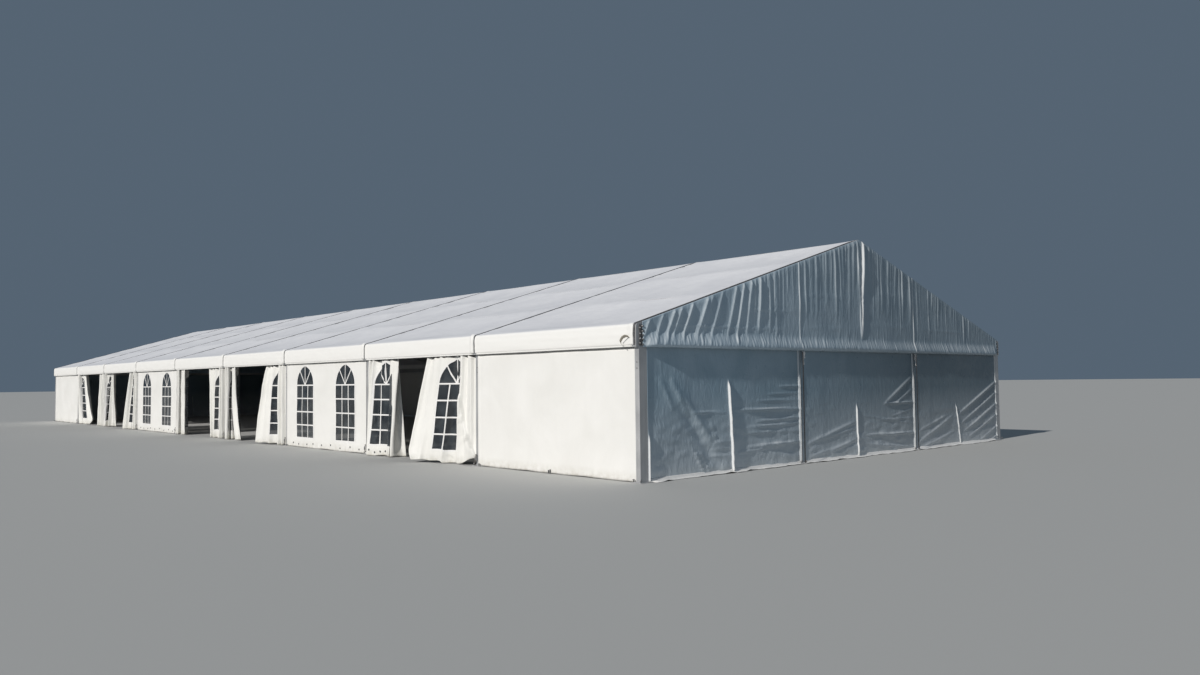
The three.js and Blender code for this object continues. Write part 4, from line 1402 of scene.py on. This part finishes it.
# %% Where the curtains hang
CURTAIN_WIDE = 2500.0
STATIONS = np.array([0, 690, 1063, 1437, 1810, 2150, CURTAIN_WIDE])
CURTAIN_WINDOW = CURTAIN_WIDE / 2
OPEN = [2, 0.5, 0.5, 0.5, 0.5, 0.5]
HALF_SHUT = [2, 1, 1, 0.5, 1, 1]
AT_POST = (68.6, 0)
CURTAINS = {
    (2, "near"): dict(
        waves=OPEN, rail=[(610, 42), (640, 0), (1011, 0), (1370, 75), (1700, 50), (2022, 20)],
        hem=[(745, 105), (893, 0), (1180, 230), (1535, 290), (1840, 400), (2165, 525)],
        corner=(-230, 0), lifted=46,
        dents=[(1190, 1760, 1300, 2180, 26, 30), (1030, 2170, 1290, 1990, 28, -26),
               (1100, 60, 1300, 190, 30, 26)],
        overlaps=[(620, 1600, 440, 960, 14, -60), (500, 1120, 230, 560, 15, -74),
                  (290, 700, 30, 60, 15, -76)], tied=140),
    (2, "far"): dict(
        waves=[2, 0.5, 0.5, 0.5, 1, 0.5],
        rail=[(440, 0), (785, 33), (1155, -25), (1175, 25), (1520, -40), (1240, -215)],
        hem=[(480, 231), (850, 135), (1208, 75), (1190, 130), (1450, 75), (1505, -270)],
        turned_edge=(0.9, 0.45), dents=[(1180, 1780, 1270, 2420, 26, -36)]),
    (4, "near"): dict(
        waves=OPEN, rail=[(520, 0), (560, 0), (630, 0), (960, 30), (1240, 20), (1500, 0)],
        hem=[(480, 60), (600, 20), (650, 0), (970, 170), (1290, 230), (1640, 280)],
        sweep=(0.7, 0.6), lifted=30),
    (4, "far"): dict(
        waves=[2, 0.5, 0.5, 0.5, 1, 1],
        rail=[(340, 0), (400, -30), (430, -130), (480, -60), (720, 0), (960, 0)],
        hem=[(420, 60), (450, -60), (520, -150), (700, -80), (1000, 0), (1330, -60)],
        sweep=(2.4, 1)),
    (5, "near"): dict(
        waves=OPEN, rail=[(380, 30), (440, 0), (560, 0), (910, 60), (1180, 40), (1520, 10)],
        hem=[(330, 40), (390, 0), (760, 0), (1070, 50), (1200, 40), (1290, 40)]),
    (5, "far"): dict(
        waves=[2, 0.5, 0.5, 0.5, 1, 1],
        rail=[(370, 0), (330, -110), (360, -150), (460, -60), (680, 0), (930, 0)],
        hem=[(400, 40), (350, -100), (380, -150), (480, -60), (720, 30), (1000, 0)]),
    (7, "near"): dict(
        waves=HALF_SHUT, rail=[(330, 0), (380, 0), (480, 0), (790, 0), (920, 0), (1050, 0)],
        hem=[(400, 30), (560, 0), (670, 0), (1020, 115), (1260, 140), (1540, 165)],
        corner=(-120, 0)),
    (7, "far"): dict(
        waves=OPEN, rail=[(160, 0), (480, 10), (620, 0), (760, 0), (980, -10), (1200, -40)],
        hem=[(120, 60), (230, 130), (300, 110), (420, 20), (640, -100), (900, -260)],
        sweep=(0.8, 1.2), turned_edge=(0.5, 0.6)),
    (8, "near"): dict(
        waves=[2, 0.5, 0.5, 0.5, 1, 1],
        rail=[(330, 0), (300, -100), (330, -140), (400, -60), (600, 0), (800, 0)],
        hem=[(360, 30), (320, -90), (350, -140), (430, -40), (660, 40), (900, 75)]),
    (8, "far"): dict(
        waves=OPEN, rail=[(350, 0), (450, 0), (600, 0), (950, 0), (1190, 0), (1420, 0)],
        hem=[(720, 0), (900, 0), (1200, -10), (1570, -60), (1910, -130), (2250, -190)],
        sweep=(1.3, 1.3), corner=(-450, 110)),
}
print("curtains:", len(CURTAINS), "with", len(STATIONS), "lines each")

# %% [markdown]
# Between two of those lines the spare cloth lies in waves that are as deep as the cloth's own
# width allows, so nothing stretches. The sharp waves are rounded later by averaging, which also
# makes them lower. They are drawn deeper here by just as much, so that the width still comes out.

# %% Fold line of a curtain
ROUNDING = 34.0


def fold_line(s, z, waves, rail, hem, sweep):
    """Where the cloth at s and height z would be with sharp folds: how far along the wall and
    how far out from it. Between two stations each leg of a wave is the long side of a
    right-angled triangle, so the depth of the waves follows from the spare cloth, times
    exp((tau * waves / flat * ROUNDING) ** 2 / 2), which is what the averaging takes away. On the
    way down a station moves from its place at the rail to that at the hem as a power, sweep."""
    station = np.clip(np.searchsorted(STATIONS, s, side="left") - 1, 0, len(waves) - 1)
    flat = STATIONS[station + 1] - STATIONS[station]
    share = (s - STATIONS[station]) / flat
    drop = np.clip(1 - z / WALL_TOP, 0, 1)[..., None] ** np.array(sweep)
    first = rail[station] + (hem[station] - rail[station]) * drop
    last = rail[station + 1] + (hem[station + 1] - rail[station + 1]) * drop
    run = last - first
    spare = np.sqrt(np.maximum(flat ** 2 - (run ** 2).sum(-1), 0))
    lost = np.exp(0.5 * (math.tau * waves[station] / flat * ROUNDING) ** 2)
    fold = lost * spare / (4 * waves[station]) * np.sin(math.tau * waves[station] * share)
    inwards = np.stack([run[..., 1], -run[..., 0]], -1) / np.linalg.norm(run, axis=-1)[..., None]
    return first + run * share[..., None] + inwards * fold[..., None]


def curtain_folds(seed):
    """Long folds that hang from the rail, as crease lines, with places and sizes from a seeded
    generator. The stiff film of the window keeps them out of its middle."""
    draw = np.random.default_rng(seed)
    lines = []
    for s in np.concatenate([np.linspace(60, 640, 7), np.linspace(1840, 2440, 7)]):
        s += draw.uniform(-30, 30)
        lines.append((s, WALL_TOP + 300, s + draw.uniform(-90, 90), draw.uniform(-300, 1300),
                      draw.uniform(20, 38), draw.uniform(-20, 24)))
    return lines


print("long folds of a curtain:", len(curtain_folds(619)))

# %% [markdown]
# The finished surface is the fold line averaged along itself, with the smaller shapes on top: the
# scallops between the hooks at the rail, the long hanging folds, the raised hem and the free
# corner. Film and bars lie on the cloth, so the surface can also be asked for a place beside it,
# along its normal, which is the cross product of two short steps on the cloth.

# %% Curtain surface
HOOK_STEP, HOOK_SAG = 312.5, 34
MEAN_STEP, MEAN_WIDTH = 17.0, 46
FREE_EDGE = 2420
SHORT_STEP = 9.0


def curtain_surface(bay, post, waves, rail, hem, sweep=(1, 1), corner=(0, 0), lifted=0.0,
                    turned_edge=(0.15, 0.35), dents=(), overlaps=(), tied=0.0):
    """The surface of a curtain for (s, z, lift): the weighted mean of the fold line at eleven
    places side by side, then moved along the normal, which comes from two short differences.
    corner moves the lowest part of the free edge and rounds it, lifted raises the hem of the
    free half, turned_edge turns the last few centimetres of cloth, dents are extra creases,
    overlaps are folds that lie over the cloth beside them, steep towards the post, and tied
    raises the hem beside the post, where a strap pulls it up."""
    rail, hem = (np.array([AT_POST, *stations], float) for stations in (rail, hem))
    waves = np.array(waves, float)
    side = -1 if post == "near" else 1
    leg = frame_x(bay - 1) if post == "near" else frame_x(bay)
    seed = 600 + 10 * bay + side
    steps = np.arange(-5, 6) * MEAN_STEP
    weights = np.exp(-(steps / MEAN_WIDTH) ** 2)
    weights /= weights.sum()
    folds = curtain_folds(seed) + list(dents)

    def middle(s, z):
        beside = [np.clip(s + step, 0, CURTAIN_WIDE) for step in steps]
        place = sum(weight * fold_line(each, z, waves, rail, hem, sweep)
                    for each, weight in zip(beside, weights))
        low_corner = np.clip(1 - z / 340, 0, 1) ** 2 * ease(s, 1950, CURTAIN_WIDE)
        place = place + low_corner[..., None] * np.array(corner)
        place = place + np.maximum(s - FREE_EDGE, 0)[..., None] * np.array(turned_edge)
        drop = 1 - z / WALL_TOP
        uneven = swell(s, z * 0.12, seed, 330, 7) + swell(s, z, seed + 1, 700, 5)
        uneven = uneven + creases(s, z, folds, 1.7) + creases(s, z, overlaps, 1.7, 14)
        inward = uneven * ease(s, 0, 60) - place[..., 1]
        hooks = np.abs(np.sin(math.pi * s / HOOK_STEP))
        tall = z - HOOK_SAG * hooks ** 2 * ease(z, WALL_TOP - 260, WALL_TOP)
        hem_rise = 8 + lifted * ease(s, 1380, 1470) + tied * (1 - ease(s, 60, 620))
        tall = tall + (swell(s, s * 0, seed + 2, 620, 9) + hem_rise) * ease(drop, 0.75, 1)
        x = leg + side * place[..., 0]
        return np.stack(np.broadcast_arrays(x, -(WALL_FACE - 4) + inward, np.maximum(tall, 3)), -1)

    def surface(s, z, lift):
        s, z = np.broadcast_arrays(s, z)
        to_s = middle(s + SHORT_STEP, z) - middle(s - SHORT_STEP, z)
        to_z = middle(s, z + SHORT_STEP) - middle(s, z - SHORT_STEP)
        normal = np.cross(to_s, to_z) * side
        normal /= np.linalg.norm(normal, axis=-1, keepdims=True)
        return middle(s, z) + normal * np.asarray(lift)[..., None]
    return surface


first_curtain = curtain_surface(2, "near", **CURTAINS[2, "near"])
free_edge = first_curtain(CURTAIN_WIDE, WALL_TOP / 2, 0.0)
print("the free edge at half height is at", free_edge.round().tolist())

# %% [markdown]
# Each curtain is a cloth with a hole for its window, a film and a set of bars, all three from the
# one surface formula. The nearest curtain is large in the picture, so its grid is the finest.

# %% Curtains
CURTAIN_EYELETS = np.array([480, 700, 910, 1080, 1250, 1400])
for (bay, post), shape in CURTAINS.items():
    surface = curtain_surface(bay, post, **shape)
    nearest = (bay, post) == (2, "near")
    columns = spaced(0, (STATIONS[1], 50 if nearest else 28), (STATIONS[4], 39),
                     (CURTAIN_WIDE, 22))
    rows = (16, 44, 18) if nearest else (7, 18, 12)
    s, z, window = window_grid(columns, [CURTAIN_WINDOW], rows)
    part = surface(s, z, 0.0), grid_faces(*z.shape, kept=~window), cloth_uv(s, z)
    film_grid = film_part(surface, CURTAIN_WINDOW, 40)
    bars = joined(bar_parts(surface, CURTAIN_WINDOW))
    name = f"curtain_{bay}_{post}"
    cloth = make_piece(f"{name}_cloth", part, curtain_cloth,
                       thick=3.0, stands_for=[name])
    pieces = [make_piece(f"{name}_film", film_grid, film),
              make_piece(f"{name}_bars", bars, trim_cloth)]
    if (bay, post) == (2, "far"):
        eyelets.append(surface(CURTAIN_EYELETS, 130 + 34 * np.sin(CURTAIN_EYELETS), 6.0))

# %% [markdown]
# Bolts, stakes, plates and eyelets come in dozens, so each kind is drawn once and with few faces.
# It is a profile turned round an axis or a plate with broken edges. Both are rings of points with
# walls between them, so one helper closes either of them.

# %% Turned parts and plates


def ringed(rings):
    """Closed walls round rings of points, (rings, sides, 3), with a flat cap at both ends."""
    count, sides = rings.shape[:2]
    index = np.arange(count * sides).reshape(count, sides)
    after = np.roll(index, -1, axis=1)
    walls = np.stack([index[:-1], after[:-1], after[1:], index[1:]], axis=-1).reshape(-1, 4)
    fan = np.array([[0, k, k + 1, k + 2] for k in range(1, sides - 2, 2)])
    faces = np.concatenate([walls, index[-1][fan], index[0][fan][:, ::-1]])
    return rings.reshape(-1, 3), faces


def turned(profile, sides=6):
    """A profile of (radius, height) pairs turned round the Z axis, sides even."""
    radius, height = np.array(profile, float).T
    angle = np.arange(sides) * math.tau / sides
    rings = np.stack([radius[:, None] * np.cos(angle), radius[:, None] * np.sin(angle),
                      np.repeat(height[:, None], sides, axis=1)], axis=-1)
    return ringed(rings)


def plate(wide, tall, thick, edge=3.0):
    """A plate in X and Y with broken edges: eight-sided outlines, smaller at back and front."""
    corner = np.array([(1, 1, 0, 1), (1, 1, 1, 0), (-1, 1, 1, 0), (-1, 1, 0, 1),
                       (-1, -1, 0, 1), (-1, -1, 1, 0), (1, -1, 1, 0), (1, -1, 0, 1)], float)
    rings = []
    for inset, height in ((edge, 0), (0, edge), (0, thick - edge), (edge, thick)):
        half = np.array([wide / 2, tall / 2]) - inset
        place = corner[:, :2] * (half - corner[:, 2:] * edge)
        rings.append(np.column_stack([place, np.full(8, height)]))
    return ringed(np.array(rings))


print("a plate has", len(plate(50, 76, 20)[1]), "faces")

# %% [markdown]
# Then each kind is copied to all its places in one sum of arrays, so that a kind is one mesh. A
# small table of directions turns a part towards the side that it faces.

# %% Copies of the small parts
FACING = {"up": np.eye(3), "front": np.array([(1, 0, 0), (0, 0, -1), (0, 1, 0)]),
          "near": np.array([(0, 0, 1), (1, 0, 0), (0, 1, 0)]),
          "far": np.array([(0, 0, -1), (-1, 0, 0), (0, 1, 0)])}


def copies(shape, places, facing):
    """The shape at every place, with its Z axis turned towards the side it faces."""
    points, faces = shape
    every = np.asarray(places, float)[:, None] + points @ FACING[facing].T
    steps = np.arange(len(every))[:, None, None] * len(points)
    uv = np.broadcast_to(points[:, :2], every.shape[:2] + (2,)) / 1000
    return every, (faces + steps).reshape(-1, 4), uv


HEX_BOLT = turned([(15, 0), (15, 3), (11, 3.4), (11, 9), (9, 11)])
STAKE = turned([(9, -12), (9, 34), (19, 36), (21, 44), (17, 52), (8, 55)], sides=8)
EYELET = turned([(25, 0), (25, 5), (19, 9), (10, 6), (10, 1)], sides=8)
KNEE_BOLT = turned([(26, 0), (26, 4), (17, 5), (17, 20), (14, 24)])
print("a hexagon bolt has", len(HEX_BOLT[1]), "faces")

# %% [markdown]
# Every leg of the front shows two bolts below the eave, and every leg and post has a stake on both
# sides of its base plate. At the two gables the knees are bare, so the plate and the nine bolts
# of each one show. The far end and the back mirror the near end and the front.

# %% Bolts, plates and stakes
LEG_FACE = 7500.0
END_FACE = HALF_LENGTH + 56
STAKE_LINE, STAKE_FOOT = 7534, 12
KNEE_BOLTS = [(7474, 2800), (7476, 2694), (7474, 2606), (7476, 2520), (7412, 2834), (7408, 2742),
              (7412, 2668), (7408, 2590), (7412, 2498)]
frames_x = np.array([frame_x(i) for i in range(BAYS + 1)])
leg_bolts = [(x, -LEG_FACE, z) for x in frames_x for z in (2178, 2070)]
stakes = [(x + dx, side * STAKE_LINE, STAKE_FOOT)
          for x in frames_x for dx in (-92, 92) for side in (-1, 1)]
stakes += [(side * (HALF_LENGTH + 96), y + dy, STAKE_FOOT)
           for side in (-1, 1) for y in GABLE_SEAMS for dy in (-98, 98)]
knee_bolts, gussets = [], []
for facing, end in (("near", 1), ("far", -1)):
    bolts = [(end * (END_FACE + 8), side * y, z) for side in (-1, 1) for y, z in KNEE_BOLTS]
    plates = [(end * END_FACE, side * 7436, 2670) for side in (-1, 1)]
    knee_bolts.append(copies(KNEE_BOLT, bolts, facing))
    gussets.append(copies(plate(126, 384, 8), plates, facing))
make_piece("frame_bolts", copies(HEX_BOLT, leg_bolts, "front"), bolt_steel)
make_piece("knee_bolts", joined(knee_bolts), bolt_steel)
# The gussets take the near-black metal, which is partly painted shade over the knee plates.
make_piece("knee_gussets", joined(gussets), dirt_and_shade_metal)
make_piece("ground_stakes", copies(STAKE, stakes, "up"), bolt_steel)

# %% [markdown]
# The eyelets sit where the wall formulas put them. Their places were asked from the surfaces
# above, a few millimetres in front of the cloth, so they follow its waves.

# %% Eyelets along the hems
eyelet_places = np.concatenate(eyelets)
make_piece("hem_eyelets", copies(EYELET, eyelet_places, "front"), dark_rubber)

# %% [markdown]
# Straps of dark woven tape hold the curtains and walls down. At every inner leg of the front one
# runs down to a stake, and each sways a little to another side. A strap is a path in space with a
# direction across it. A few points are enough for its path, because averaging makes it supple.

# %% Foot straps


def strap(path, across, wide):
    """A tape along a path of points in space, as wide as said along the direction across. The
    path is cut finely, and then each point is averaged three times with its neighbours."""
    path, across = np.asarray(path, float), np.asarray(across, float)
    stops = np.linspace(0, 1, len(path))
    fine = np.linspace(0, 1, 5 * len(path))
    middle = np.stack([np.interp(fine, stops, path[:, k]) for k in range(3)], axis=1)
    for _ in range(3):
        middle[1:-1] = (middle[:-2] + 2 * middle[1:-1] + middle[2:]) / 4
    share = np.linspace(-0.5, 0.5, 4)
    points = middle[:, None] + across * (share * wide)[:, None]
    length = np.linalg.norm(np.diff(middle, axis=0), axis=1).sum()
    along, over = np.meshgrid(fine * length, share * wide, indexing="ij")
    return points, grid_faces(len(fine), 4), cloth_uv(over, along)


feet, buckles = [], []
for i, x in enumerate(frames_x[1:-1], start=1):
    sway = 14 * math.sin(2.3 * i)
    foot = x - 92 if i % 2 else x + 92
    feet.append(strap([(x - 26 + sway, -LEG_FACE - 34, 262), (x - 30 + sway, -LEG_FACE - 40, 150),
                       (x - 44, -LEG_FACE - 44, 80), (foot, -LEG_FACE - 36, 46)], (1, 0, 0.15), 40))
    buckles.append((x - 28 + sway, -LEG_FACE - 40, 168))
make_piece("foot_straps", joined(feet), dark_tape, thick=3.0, offset=0.0)

# %% [markdown]
# Some tape ends hang loose. Two show under the hem of the near gable sheet at each post, each
# with its own length, and a curled one sticks out at the near end of the first eave band.

# %% Loose tape ends
TIES = ((-2440, 290, 52), (-2400, 150, 44), (2550, 310, 56), (2500, 170, 44))
ties = [strap([(END_FACE - 6, y, 2470), (END_FACE + 34, y + 8, 2440), (END_FACE + 44, y + 14, 2400),
               (END_FACE + 30, y + 6, 2440 - reach * 0.7), (END_FACE + 38, y + 22, 2440 - reach)],
              (0.1, 1, 0.08), wide) for y, reach, wide in TIES]
band_x = frame_x(0) - 30
curl = strap([(band_x - 60, -7612, 2640), (band_x - 105, -7650, 2660), (band_x - 170, -7668, 2630),
              (band_x - 250, -7650, 2560), (band_x - 232, -7625, 2500),
              (band_x - 190, -7640, 2476)], (0.1, -0.75, 0.66), 62)
make_piece("post_ties", joined(ties), trim_cloth, thick=3.0, offset=0.0)
make_piece("straps", curl, strap_tape, thick=3.0, offset=0.0)

# %% [markdown]
# Each foot strap is tightened by one steel buckle, and two dark hooks hold the hem of the first
# wall in its middle. At this size a plate with broken edges is enough for both.

# %% Buckles and hooks
hooks = [(frame_x(0) - away, -WALL_FACE - 12, z) for away, z in ((2490, 52), (2540, 38))]
make_piece("strap_buckles", copies(plate(50, 76, 20, 5), buckles, "front"), bolt_steel)
make_piece("hem_hooks", copies(plate(30, 66, 9), hooks, "front"), dark_rubber)

# %% [markdown]
# At the end the triangles of every added piece are counted, with its thickness, because a picture
# and an export must stay light. Then the two boxes, of the packed model and of the dressed one, are
# set side by side as the cell's last value, so that a cloth that strays too far from its solid
# shows up as a number.

# %% Sizes and the end
seen = bpy.context.evaluated_depsgraph_get()
triangles = {}
for piece in bpy.context.scene.objects:
    if piece.type == "MESH" and piece is not floor and piece.name not in frame["nodes"]:
        solid = piece.evaluated_get(seen)
        mesh = solid.to_mesh()
        sides = np.empty(len(mesh.polygons), dtype=np.int32)
        mesh.polygons.foreach_get("loop_total", sides)
        triangles[piece.name] = int((sides - 2).sum())
        solid.to_mesh_clear()
largest = max(triangles, key=triangles.get)
print("triangles added:", sum(triangles.values()), "largest piece:", largest, triangles[largest])
boxes = {"cad": cad_box, "visual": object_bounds()}
{name: [list(map(float, corner)) for corner in box] for name, box in boxes.items()}
